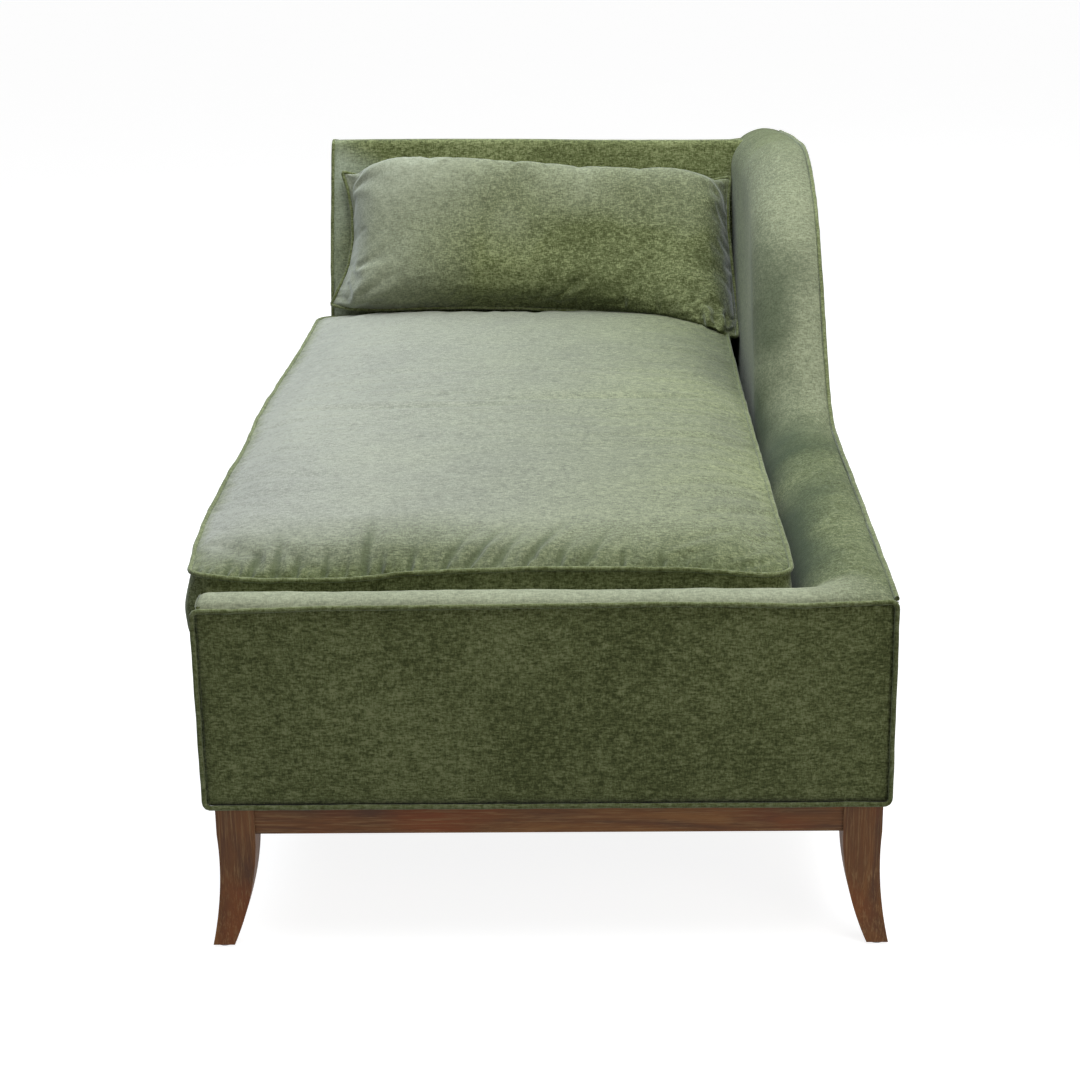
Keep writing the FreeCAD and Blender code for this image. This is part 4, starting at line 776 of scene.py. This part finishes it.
def back_front():
    """Inside of the back, over its rounded top edge to the rear seam."""
    profile = bends([(0, back_face(COVER_LOW), COVER_LOW), (0, back_face(BACK_TOP), BACK_TOP),
                     (0, outer_face(BACK_TOP) - 0.001, BACK_TOP)], [0, 0.014, 0])
    profile = resample(profile, 0.007)
    left = LEFT + 0.003
    a, b = shares(130, len(profile))
    grid = points(left + (ARM_IN + 0.062 - left) * a, profile[:, Y], profile[:, Z])
    high = smooth(BACK_TOP - 0.12, BACK_TOP, grid[:, :, Z])
    grid[:, :, Z] -= high * top_fall(grid[:, :, X], grid[:, :, Y])
    grid[:, :, X] += lean_in(grid[:, :, Z]) * (1 - smooth(0, 0.25, grid[:, :, X] - LEFT))
    out = 0.003 * smooth(0, 0.1, a) * np.sin(np.pi * np.clip(b * 1.35, 0, 1))
    out = out + uneven(grid, 15.0, 0.0012, 0.15, 0.0004, 0.035) * (1 - 0.7 * high)
    out -= pull(grid[:, :, X] - left) + pull(outer_face(BACK_TOP) - grid[:, :, Y])
    return sheet("back_upholstery", grid + normals(grid) * out[:, :, None], BACK_VELVET)


def back_outside():
    a, b = shares(150, 90)
    x = LEFT + (RIGHT - LEFT) * a
    top = np.maximum(roll_height(x), BACK_TOP - top_fall(x, 1.0))
    z = BOTTOM + (top - BOTTOM) * b
    grid = points(x, outer_face(z), z)
    out = stand(grid, (0.84, 0.58), 18.0, 0.0014, 0.2, 0.0004, 0.04)
    grid[:, :, X] += lean_in(z) * (1 - smooth(0, 0.3, a))
    normal = unit(np.array([0, 1, -OUTER_SLANT]))
    return sheet("outside_back_panel", grid + normal * out[:, :, None], VELVET)


def deck_cloth():
    """Plain deck under the seat cushion."""
    a, b = shares(60, 110)
    left, front = LEFT + 0.002, FOOT_IN - 0.002
    x = left + (ARM_IN + 0.004 - left) * a
    y = front + (back_face(DECK) + 0.004 - front) * b
    z = DECK - 0.0005 - 0.006 * (1 - smooth(0, 0.05, a)) - 0.004 * np.exp(-np.minimum(b, 1 - b) / 0.01)
    grid = points(x, y, z)
    grid[:, :, Z] += 0.0005 * np.minimum(0, waves(grid, 0.08, 21.0))
    return sheet("seat_deck", grid, VELVET)


def fixed_upholstery():
    """Makes each fixed padded piece, with its fill and the CAD nodes that it stands for."""
    for make, fill, *nodes in (
            (arm_body, 0.8, "arm_inner_cover", "arm_padding", "footboard_top_cover", "footboard_padding"),
            (front_panel, 0.9, "footboard_front_cover"),
            (arm_side, 0.9, "arm_outer_cover"),
            (open_side, 0.9, "left_side_cover", "seat_side_padding", "back_side_padding"),
            (back_front, 0.85, "back_inner_cover", "back_padding"),
            (back_outside, 0.95, "outside_back_cover"),
            (deck_cloth, 0.9, "deck_cover", "deck_pad")):
        upholster(make(), fill, "frame", *nodes)


def fixed_welts():
    """Piped seams of the footboard, the arm, the back's open side and the outside back."""
    body = "frame"
    low = BOTTOM - 0.001
    y = FRONT - WELT * 0.7
    left, right = LEFT - 0.0022, RIGHT - 0.002
    corners = [(left, y, low), (left, y, FOOT_TOP), (right, y, FOOT_TOP), (right, y, low)]
    loop = resample(bends(corners, [0.007], closed=True), 0.004)
    loop[:, Z] += np.interp(loop[:, X], *zip(*FOOT_SEAM_WAVES)) * (loop[:, Z] > FOOT_TOP - 0.02)
    sew_welt("footboard_welt", loop, body, 0.0006, 31, closed=True)

    run = resample([(RIGHT - 0.0005, y, z + 0.0008) for y, z in EDGE], 0.006)
    run = run[(run[:, Y] > FRONT + 0.009) & (run[:, Y] < outer_face(BACK_TOP) - WELT)]
    sew_welt("arm_welt", run, body, 0.0007, 37)

    x = LEFT + 0.0025
    leaned = x + 0.005
    corners = [(x, back_face(DECK + 0.009), DECK + 0.009), (x, back_face(0.55), 0.55),
               (leaned, back_face(BACK_TOP), BACK_TOP - 0.002),
               (leaned, outer_face(BACK_TOP) - 0.002, BACK_TOP - 0.014)]
    sew_welt("back_side_welt", bends(corners, [0, 0.050, 0.016, 0]), body, 0.0005, 41)

    radius = REAR_RADIUS - WELT
    over = [(REAR_CENTRE[0] + radius * math.sin(t), REAR_CENTRE[1] + radius * math.cos(t))
            for t in np.linspace(-0.74, 0.40, 16)]
    fall = float(top_fall(ARM_IN, 1.0))
    spots = [(LEFT + WELT, low), (LEFT + WELT + 0.005, BACK_TOP - WELT - 0.012),
             (REAR_CENTRE[0] - 0.075, BACK_TOP - WELT - fall), *over,
             (RIGHT - WELT, 0.756), (RIGHT - WELT, low)]
    corners = [(x, outer_face(z) + WELT * 0.7, z) for x, z in spots]
    radii = [0.004, 0.010, 0.010] + [0.004] * len(over) + [0.010, 0.010]
    sew_welt("outside_back_welt", bends(corners, radii), body, 0.0005, 43)


# Loose cushions

def simulate(item, pin, ease, pressure, bending):
    """Lets the cloth settle round its filling, held where pin is 1 and cushioned where it is less."""
    frames, stiffness = 20, 12.0
    group = item.vertex_groups.new(name="held")
    for index, weight in enumerate(pin):
        group.add([index], float(weight), "REPLACE")
    cloth = item.modifiers.new("cloth", "CLOTH")
    settings = {"quality": 6, "mass": 0.3, "tension_stiffness": stiffness, "compression_stiffness": stiffness,
                "shear_stiffness": stiffness * 0.6, "bending_stiffness": bending, "use_pressure": True,
                "uniform_pressure_force": pressure, "vertex_group_mass": "held", "pin_stiffness": 1.0,
                "shrink_min": -ease}
    for key, value in settings.items():
        setattr(cloth.settings, key, value)
    cloth.settings.effector_weights.gravity = 0
    cloth.collision_settings.use_collision = False
    cloth.point_cache.frame_start = 1
    cloth.point_cache.frame_end = frames
    for number in range(1, frames + 1):
        scene.frame_set(number)
    shaped = item.evaluated_get(bpy.context.evaluated_depsgraph_get())
    co = np.zeros(len(shaped.data.vertices) * 3, np.float32)
    shaped.data.vertices.foreach_get("co", co)
    scene.frame_set(1)
    return co.reshape(-1, 3).astype(float)


def lowpass(field, rounds):
    """Field smoothed on its grid, its borders kept."""
    out = field.copy()
    for _ in range(rounds):
        inner = (out[:-2, 1:-1] + out[2:, 1:-1] + out[1:-1, :-2] + out[1:-1, 2:]) / 4
        out[1:-1, 1:-1] = 0.5 * out[1:-1, 1:-1] + 0.5 * inner
    return out


def settle(name, patches, held, ease, pressure, bending, kept, limit):
    """Runs the cloth on the joined patches.

    The first patch is pinned all round and the others at their last column. Each comes back with the kept
    share of its fine folds, and with its slow swelling up to the limit.
    """
    verts, faces, maps, index = [], [], [], {}
    for number, patch in enumerate(patches):
        ids = np.zeros(patch.shape[:2], int)
        for spot in np.ndindex(ids.shape):
            key = tuple(np.round(patch[spot], 5))
            if key not in index:
                index[key] = len(verts)
                verts.append(patch[spot])
            ids[spot] = index[key]
        maps.append(ids)
        for face in grid_faces(*ids.shape, flip=True):
            quad = [ids.flat[k] for k in face]
            faces.append(quad if number == 0 else quad[::-1])
    pin = np.full(len(verts), held)
    for border in borders(maps[0]) + [ids[:, -1] for ids in maps[1:]]:
        pin[border] = 1.0
    trial = new_object(name, verts, faces, VELVET)
    settled = simulate(trial, pin, ease, pressure, bending)
    bpy.data.objects.remove(trial)
    out = []
    for patch, ids in zip(patches, maps):
        moved = settled[ids] - patch
        slow = lowpass(moved, 40)
        size = np.linalg.norm(slow, axis=2)[:, :, None] + 1e-9
        out.append(patch + kept * (moved - slow) + slow * np.minimum(1, limit / size))
    return out


def finer(grid, axis, times=1):
    """Grid with a cubic in-between row after each row, once or more times."""
    g = np.moveaxis(grid, axis, 0)
    for _ in range(times):
        far = np.concatenate([2 * g[:1] - g[1:2], g, 2 * g[-1:] - g[-2:-1]])
        out = np.empty((2 * len(g) - 1,) + g.shape[1:])
        out[0::2] = g
        out[1::2] = (9 * (far[1:-2] + far[2:-1]) - far[:-3] - far[3:]) / 16
        g = out
    return np.moveaxis(g, 0, axis)


def left_side():
    """Depths, and how far the cushion's left side is inside its straight line there."""
    spots = [seen_at(Z, u, v, SEAM + 0.002) for u, v in LEFT_SEAM_PIXELS]
    ys = [PAD_FRONT] + [p.y for p in spots] + [PAD_BACK]
    xs = [0.0] + [PAD_LEFT - (p.x + WELT * 1.75) for p in spots] + [-0.004]
    return ys, [max(-0.004, min(0.016, x)) for x in xs]


def front_seam():
    """Places along the front seam and how far it rises there."""
    spots = [seen_at(Y, u, v, PAD_FRONT - 0.003) for u, v in FRONT_SEAM_PIXELS]
    return [p.x for p in spots], [max(-0.007, min(0.007, p.z - SEAM)) for p in spots]


LEFT_SIDE, FRONT_SEAM = left_side(), front_seam()


def cushion_plan(a, b, inset):
    """Plan point of the seat cushion for shares a, b from -1 to 1, on and inside a rounded rectangle."""
    mx, my = (PAD_LEFT + PAD_RIGHT) / 2, (PAD_FRONT + PAD_BACK) / 2
    hx, hy = (PAD_RIGHT - PAD_LEFT) / 2 - inset, (PAD_BACK - PAD_FRONT) / 2 - inset
    x = a * (hx - PAD_DRAW * (1 - b ** 2))
    y = b * (hy - PAD_DRAW * (1 - a ** 2))
    px = np.clip(np.abs(x) - (hx - PAD_CORNER), 0, PAD_CORNER) / PAD_CORNER
    py = np.clip(np.abs(y) - (hy - PAD_CORNER), 0, PAD_CORNER) / PAD_CORNER
    out = smooth(0, 1, -a) * (np.interp(my + y, *LEFT_SIDE) + PAD_DRAW * (1 - b ** 2))
    x = np.sign(x) * (np.abs(x) - px * PAD_CORNER + PAD_CORNER * px * np.sqrt(1 - py ** 2 / 2)) - out
    y = np.sign(y) * (np.abs(y) - py * PAD_CORNER + PAD_CORNER * py * np.sqrt(1 - px ** 2 / 2))
    return mx + x, my + y


def seat_seam(x, y):
    """Height of the seat cushion's piped seam, with its waves."""
    share = 1 - smooth(PAD_FRONT + 0.01, PAD_FRONT + 0.10, y)
    slack = 0.0022 * waves(points(x, y, 0.0), 0.16, 25.0)
    return SEAM + np.interp(x, *FRONT_SEAM) * share + slack * (1 - share)


def clear_of_zip(side):
    """Rear boxing lying just inside the zip that is sewn on it."""
    low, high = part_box("seat_cushion_zip")
    x, z = side[:, :, X], side[:, :, Z]
    away = np.maximum(np.maximum(low[X] - x, x - high[X]), np.maximum(low[Z] - z, z - high[Z]))
    out = side.copy()
    out[:, :, Y] = np.minimum(side[:, :, Y], low[Y] - 0.0006 + 0.5 * np.maximum(0, away - 0.006))
    return out


def gathers(top):
    """The crown with its gathers and creases at the front seam, and the painted shade of each point: how deep
    it lies in them, and a band along the seam.
    """
    x, y = top[:, :, X], top[:, :, Y]
    d = y - top[:, :1, Y]
    line = points(x, 0.0, 0.0)[:, :1]
    phase = x / 0.0135 * 2 * math.pi + 5.0 * waves(line, 0.06, 51.0)
    size = 0.7 + 0.6 * waves(line, 0.05, 52.0)
    reach = 0.026 * (0.9 + 0.6 * waves(line, 0.03, 53.0))
    lift = 0.0023 * size * np.sin(phase) * bell(d, np.maximum(reach, 0.006)) * smooth(0, 0.004, d)
    for place, length, lean, depth in PUCKERS:
        across = x - place - lean * d
        width = 0.0062 + 0.05 * d
        fade = np.exp(-(d / length) ** 2 * 1.6) * smooth(0.0, 0.006, d)
        ridges = 0.8 * bell(across - 1.6 * width, width) + 0.5 * bell(across + 1.6 * width, width)
        lift += 0.62 * depth * fade * (ridges - 1.1 * bell(across, width))
    out = top.copy()
    out[:, :, Z] += lift + 0.0012 * waves(top, 0.12, 55.0) * smooth(0, 0.05, d)
    # Painted shade: a band along the front seam, added to the depth of the valleys
    patchy = 0.5 + 0.5 * waves(line, 0.09, 57.0)
    shade = 0.40 * bell(d, 0.035 + 0.055 * patchy)
    return out, np.clip(-lift / 0.0022, 0, 1) + shade


def assemble(name, top, sides, painted_fold_shade):
    """One closed mesh from the crown, the four sides and a flat underside; the painted shade of its folds is
    kept as an attribute.
    """
    verts, faces = stitched([top] + sides, [False] + [True] * 4)
    rim = np.concatenate([side[:-1, -1] for side in sides])
    rim[:, Z] = PAD_LOW
    middle = rim.mean(0)
    start, count = len(verts), len(rim)
    rings = [rim] + [middle + (rim - middle) * share for share in (0.985, 0.95, 0.8)]
    for ring in rings:
        verts += list(ring)
    faces += grid_faces(len(rings), count, start, close_cols=True)
    faces.append(tuple(range(len(verts) - count, len(verts))))
    item = new_object(name, verts, faces, SEAT_VELVET)
    values = np.zeros(len(verts), np.float32)
    values[:painted_fold_shade.size] = np.clip(painted_fold_shade, 0, 1).ravel()
    item.data.attributes.new("painted_fold_shade", "FLOAT", "POINT").data.foreach_set("value", values)
    return weld(item, 0.0006)


def seat_cushion():
    nx, ny, nz = 63, 121, 9
    a, b = np.meshgrid(np.linspace(-1, 1, nx), np.linspace(-1, 1, ny), indexing="ij")
    # Rows and columns closer together near the seams
    a = np.sin(a * math.pi / 2) * 0.35 + a * 0.65
    b = np.sin(b * math.pi / 2) * 0.35 + b * 0.65
    x, y = cushion_plan(a, b, PAD_INSET)
    dx = 0.370 * (1 - np.abs(a))
    dy = 0.722 * (1 - np.abs(b))
    rise = (1 - np.exp(-dx / 0.050)) * (1 - np.exp(-dy / 0.050))
    slow = (1 - a ** 2) * (1 - b ** 4)
    low = SEAM + (seat_seam(x, y) - SEAM) * np.exp(-np.minimum(dx, dy) / 0.06)
    top = points(x, y, low + 0.017 * rise + 0.009 * slow)
    patches = [top]
    for loop, ma, mb in zip(borders(top), borders(a), borders(b)):
        rows = [loop]
        for share in np.linspace(0, 1, nz)[1:]:
            inset = PAD_INSET - 0.003 * math.sin(math.pi * share) + 0.003 * smooth(0.94, 1, share)
            inset = inset - 0.006 * smooth(0, 0.6, share) * smooth(0.92, 1, -ma)
            px, py = cushion_plan(ma, mb, inset)
            rows.append(points(px, py, loop[:, Z] + (PAD_LOW - loop[:, Z]) * share))
        patches.append(np.stack(rows, axis=1))
    patches = settle("seat_cushion_trial", patches, 0.06, 0.010, 2.2, 0.6, kept=0.7, limit=0.006)
    top, front, right, back, left = patches
    sides = []
    for side, times in ((front, 3), (right, 1), (clear_of_zip(back), 3), (left, 1)):
        sides.append(finer(finer(side, 1), 0, times))
    top, painted_fold_shade = gathers(finer(finer(top, 0, 3), 1))
    return assemble("seat_cushion_upholstery", top, sides, painted_fold_shade)


def pillow_rim():
    """The pillow's four seams as points."""
    foot = np.array([seen_at(Z, *spot) for spot in PILLOW_FOOT_PIXELS])
    left = np.array([seen_at(Y, *spot) for spot in PILLOW_LEFT_PIXELS] + [foot[0]])
    right = np.array([seen_at(Y, *spot) for spot in PILLOW_RIGHT_PIXELS] + [foot[-1]])
    share = np.linspace(0, 1, 25)[:, None]
    head = left[0] * (1 - share) + right[0] * share
    dip = np.sin(np.pi * share[:, 0]) ** 0.5
    head[:, Z] -= 0.020 * dip
    head[:, Y] += 0.004 * dip
    return left, foot, right, head


def spaced(line, share):
    """Points at shares of a line, its bends softened."""
    run = run_along(line)
    line = at_lengths(line, run, share * run[-1])
    for _ in range(4):
        line = relaxed(line)
    return line


def creased(s, t):
    """Depth of the pillow's creases and of the small gathers at its seams."""
    x, y = s * PILLOW_LENGTH, t * PILLOW_HEIGHT
    out = np.zeros_like(x)
    for s0, t0, s1, t1, depth, width in CREASES:
        start = np.array([s0 * PILLOW_LENGTH, t0 * PILLOW_HEIGHT])
        way = np.array([s1 * PILLOW_LENGTH, t1 * PILLOW_HEIGHT]) - start
        dx, dy = x - start[0], y - start[1]
        near = np.clip((dx * way[0] + dy * way[1]) / (way @ way), 0, 1)
        gap = np.hypot(dx - near * way[0], dy - near * way[1])
        ridge = np.where(dx * way[1] - dy * way[0] > 0, 0.75, 0.45)
        fade = depth * (1 - smooth(0.2, 1.0, near))
        w = width * (1 + 1.2 * near)
        out += fade * (ridge * bell(gap - 2.0 * w, w) - bell(gap, w))
    long_edge = np.minimum(y, PILLOW_HEIGHT - y)
    short_edge = np.minimum(x, PILLOW_LENGTH - x)
    along, up = points(x, 0.0, 0.0), points(0.0, y, 0.0)
    ripple = np.sin(x / 0.016 * 2 * np.pi + 5 * waves(along, 0.05, 71.0))
    out += 0.0011 * ripple * bell(long_edge, 0.022) * (0.5 + waves(along, 0.07, 72.0))
    ripple = np.sin(y / 0.019 * 2 * np.pi + 4 * waves(up, 0.05, 73.0))
    out += 0.0004 * ripple * bell(short_edge, 0.020) * (0.4 + waves(up, 0.06, 76.0))
    edge = smooth(0, 0.008, long_edge) * smooth(0, 0.008, short_edge)
    return (out + uneven(points(x, y, 0.0), 74.0, 0.0010, 0.06, 0.0004, 0.02)) * edge


def lumbar_pillow():
    """The pillow, and the points round its seam."""
    left, foot, right, head = pillow_rim()
    s, t = np.linspace(0, 1, 121), np.linspace(0, 1, 49)
    low, high = spaced(foot, s), spaced(head, s)
    rise = spaced(left[::-1], t), spaced(right[::-1], t)
    u, v = s[:, None, None], t[None, :, None]
    middle = ((1 - v) * low[:, None] + v * high[:, None] + (1 - u) * rise[0][None] + u * rise[1][None]
              - (1 - u) * (1 - v) * low[0] - u * (1 - v) * low[-1] - (1 - u) * v * high[0] - u * v * high[-1])
    a, b = 2 * s[:, None] - 1, 2 * t[None, :] - 1
    dx = 0.36 * (1 - np.abs(a))
    ends = (1 - np.exp(-dx / 0.040)) * np.clip(dx / 0.015, 0, 1) ** 0.5
    dome = (1 - np.abs(b) ** 2.6) ** 0.62 * ends
    puff = np.sin(np.pi * t[None, :] ** 3.4) * (1 - np.abs(a) ** 7) * (0.93 + 0.07 * np.cos(np.pi * (a + 0.35)))
    out, up = np.array(PILLOW_OUT), np.array(PILLOW_UP)
    front = middle + out * (0.080 * dome)[:, :, None] + up * (0.074 * puff)[:, :, None]
    rear = middle - out * (0.050 * dome)[:, :, None] + up * (0.012 * puff)[:, :, None]
    sheets = [front, rear]
    sheets = settle("pillow_trial", sheets, 0.05, 0.035, 2.5, 0.3, kept=0.5, limit=0.005)
    front, rear = [finer(finer(side, 0), 1, 2) for side in sheets]
    front = front + normals(front) * creased(*shares(*front.shape[:2]))[:, :, None]
    # Both sides stay before the back and above the seat cushion
    for side in (front, rear):
        side[:, :, Y] = np.minimum(side[:, :, Y], back_face(side[:, :, Z]) - 0.003)
        inside = 1 - smooth(0.285, 0.316, side[:, :, X])
        side[:, :, Z] = np.maximum(side[:, :, Z], 0.452 + 0.028 * inside)
    item = new_object("lumbar_pillow_upholstery", *stitched([front, rear], [False, True]), PILLOW_VELVET)
    first, *others = borders(front)
    return weld(item, 0.0003), np.vstack([first] + [edge[1:] for edge in others])


def loose_cushions():
    body = "seat_cushion"
    upholster(seat_cushion(), 0.7, body, "seat_cushion_cover", "seat_cushion_filling")
    share = np.linspace(-1, 1, 160)
    p, q = np.meshgrid(share, share, indexing="ij")
    rim = []
    for a, b in zip(borders(p), borders(q)):
        x, y = cushion_plan(a, b, PAD_INSET - WELT * 0.75)
        rim += list(points(x, y, seat_seam(x, y))[:-1])
    rim.append(rim[0])
    sew_welt("seat_cushion_welt", rim, body, 0.0009, 61, closed=True)

    body = "lumbar_pillow"
    pillow, rim = lumbar_pillow()
    upholster(pillow, 0.6, body, "lumbar_pillow_cover", "lumbar_pillow_filling")
    middle = rim.mean(0)
    path = rim + (rim - middle) / np.linalg.norm(rim - middle, axis=1)[:, None] * WELT * 0.6
    for _ in range(6):
        path = relaxed(path)
        path[0] = path[-1] = 0.5 * path[0] + 0.25 * (path[1] + path[-2])
    sew_welt("lumbar_pillow_welt", path, body, 0.0007, 67, closed=True)


# CAD nodes that stay

def dress():
    """Materials of the CAD nodes that keep their own shape."""
    along_x, along_y = wood("limed_wood_x", X, 7.7), wood("limed_wood_y", Y, 5.3)
    beech_x, beech_y = plain_wood("hardwood_x", X), plain_wood("hardwood_y", Y)
    beech_z = plain_wood("hardwood_z", Z)
    ply = plain_wood("plywood_sheet", Y, (200, 172, 130), (168, 136, 96))
    web = woven("jute_webbing", (150, 128, 92), (186, 164, 122), 400)
    steel = metal("zinc_steel_worn", (150, 152, 155))
    table = {
        "leg_": wood("limed_wood_leg", Z, 3.1), "apron_rail": along_x, "apron_rail_left": along_y,
        "apron_rail_right": along_y, "base_corner_blocks": beech_x, "seat_corner_blocks": beech_x,
        "foot_glides": steel, "leg_frame_bolts": steel, "seat_rail": beech_x, "seat_rail_left": beech_y,
        "seat_rail_right": beech_y, "seat_cross": beech_x, "seat_webbing": web, "back_webbing": web,
        "back_post": beech_z, "back_top": beech_x, "back_lower": beech_x, "arm_panel": ply,
        "footboard_panel": ply, "dust_cover": woven("black_cambric", (14, 14, 15), (34, 34, 36), 1400),
        "seat_cushion_core": foam("seat_foam", (222, 212, 176)),
        "seat_cushion_zip_slider": metal("zip_brass", (182, 150, 84)),
        "seat_cushion_zip": woven("zip_tape_green", (50, 56, 36), (76, 84, 56), 1600),
    }
    for name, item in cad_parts.items():
        if item.hide_render:
            continue
        best = max((key for key in table if name.startswith(key)), key=len)
        item.data.materials.clear()
        item.data.materials.append(table[best])
        if name.startswith(("leg_front", "leg_back", "apron_rail")):
            bevel = item.modifiers.new("worn_edge", "BEVEL")
            bevel.width = 0.0012
            bevel.segments = 2
            bevel.limit_method = "ANGLE"
            bevel.angle_limit = math.radians(40)


# Studio

def lamp(name, place, aim, size, power, colour):
    data = bpy.data.lights.new(name, "AREA")
    data.shape = "RECTANGLE"
    data.size, data.size_y = size
    data.energy = power
    data.color = colour
    item = bpy.data.objects.new(name, data)
    item.location = place
    item.rotation_mode = "QUATERNION"
    item.rotation_quaternion = (Vector(aim) - Vector(place)).to_track_quat("-Z", "Y")
    scene.collection.objects.link(item)


def pale_floor():
    """Grey floor that glows pale where it is seen."""
    r = 30
    mesh = bpy.data.meshes.new("floor")
    mesh.from_pydata([(-r, -r, 0), (r, -r, 0), (r, r, 0), (-r, r, 0)], [], [(0, 1, 2, 3)])
    floor = bpy.data.objects.new("floor", mesh)
    scene.collection.objects.link(floor)
    n = material("pale_floor")
    tone = n.ramp(n.noise((3, 3, 3), 2, 0.5), (0.0, (0.40, 0.40, 0.40, 1.0)), (1.0, (0.44, 0.44, 0.44, 1.0)))
    n.put(n.shader.inputs["Base Color"], tone)
    n.shader.inputs["Roughness"].default_value = 0.9
    n.shader.inputs["Specular IOR Level"].default_value = 0.1
    glow = n.add("ShaderNodeEmission", Color=(1, 1, 1, 1), Strength=n.math("MULTIPLY", n.seen(), 0.88))
    both = n.add("ShaderNodeAddShader")
    n.put(both.inputs[0], n.shader.outputs[0])
    n.put(both.inputs[1], glow.outputs[0])
    n.put(n.tree.nodes["Material Output"].inputs["Surface"], both.outputs[0])
    mesh.materials.append(n.owner)


def studio():
    pale_floor()
    scene.world = bpy.data.worlds.new("studio")
    n = Nodes(scene.world)
    strength = n.add("ShaderNodeMapRange", Value=n.seen(), To_Min=0.16, To_Max=1.0)
    back = n.tree.nodes["Background"]
    n.put(back.inputs["Strength"], strength.outputs[0])
    n.put(back.inputs["Color"], (1, 1, 1, 1))
    lamp("softbox_rear_left", (-1.0, 1.9, 2.9), (0, 0, 0.4), (2.2, 1.8), 62, (0.84, 0.92, 1.0))
    lamp("softbox_overhead", (0.5, -0.3, 3.2), (0, -0.1, 0.3), (2.6, 3.0), 122, (0.95, 0.98, 1.0))
    lamp("front_fill", (2.4, -3.4, 1.8), (0, -0.4, 0.4), (2.0, 1.6), 21, (1.0, 0.94, 0.84))
    scene.view_settings.view_transform = "Standard"


fixed_upholstery()
fixed_welts()
loose_cushions()
dress()
studio()
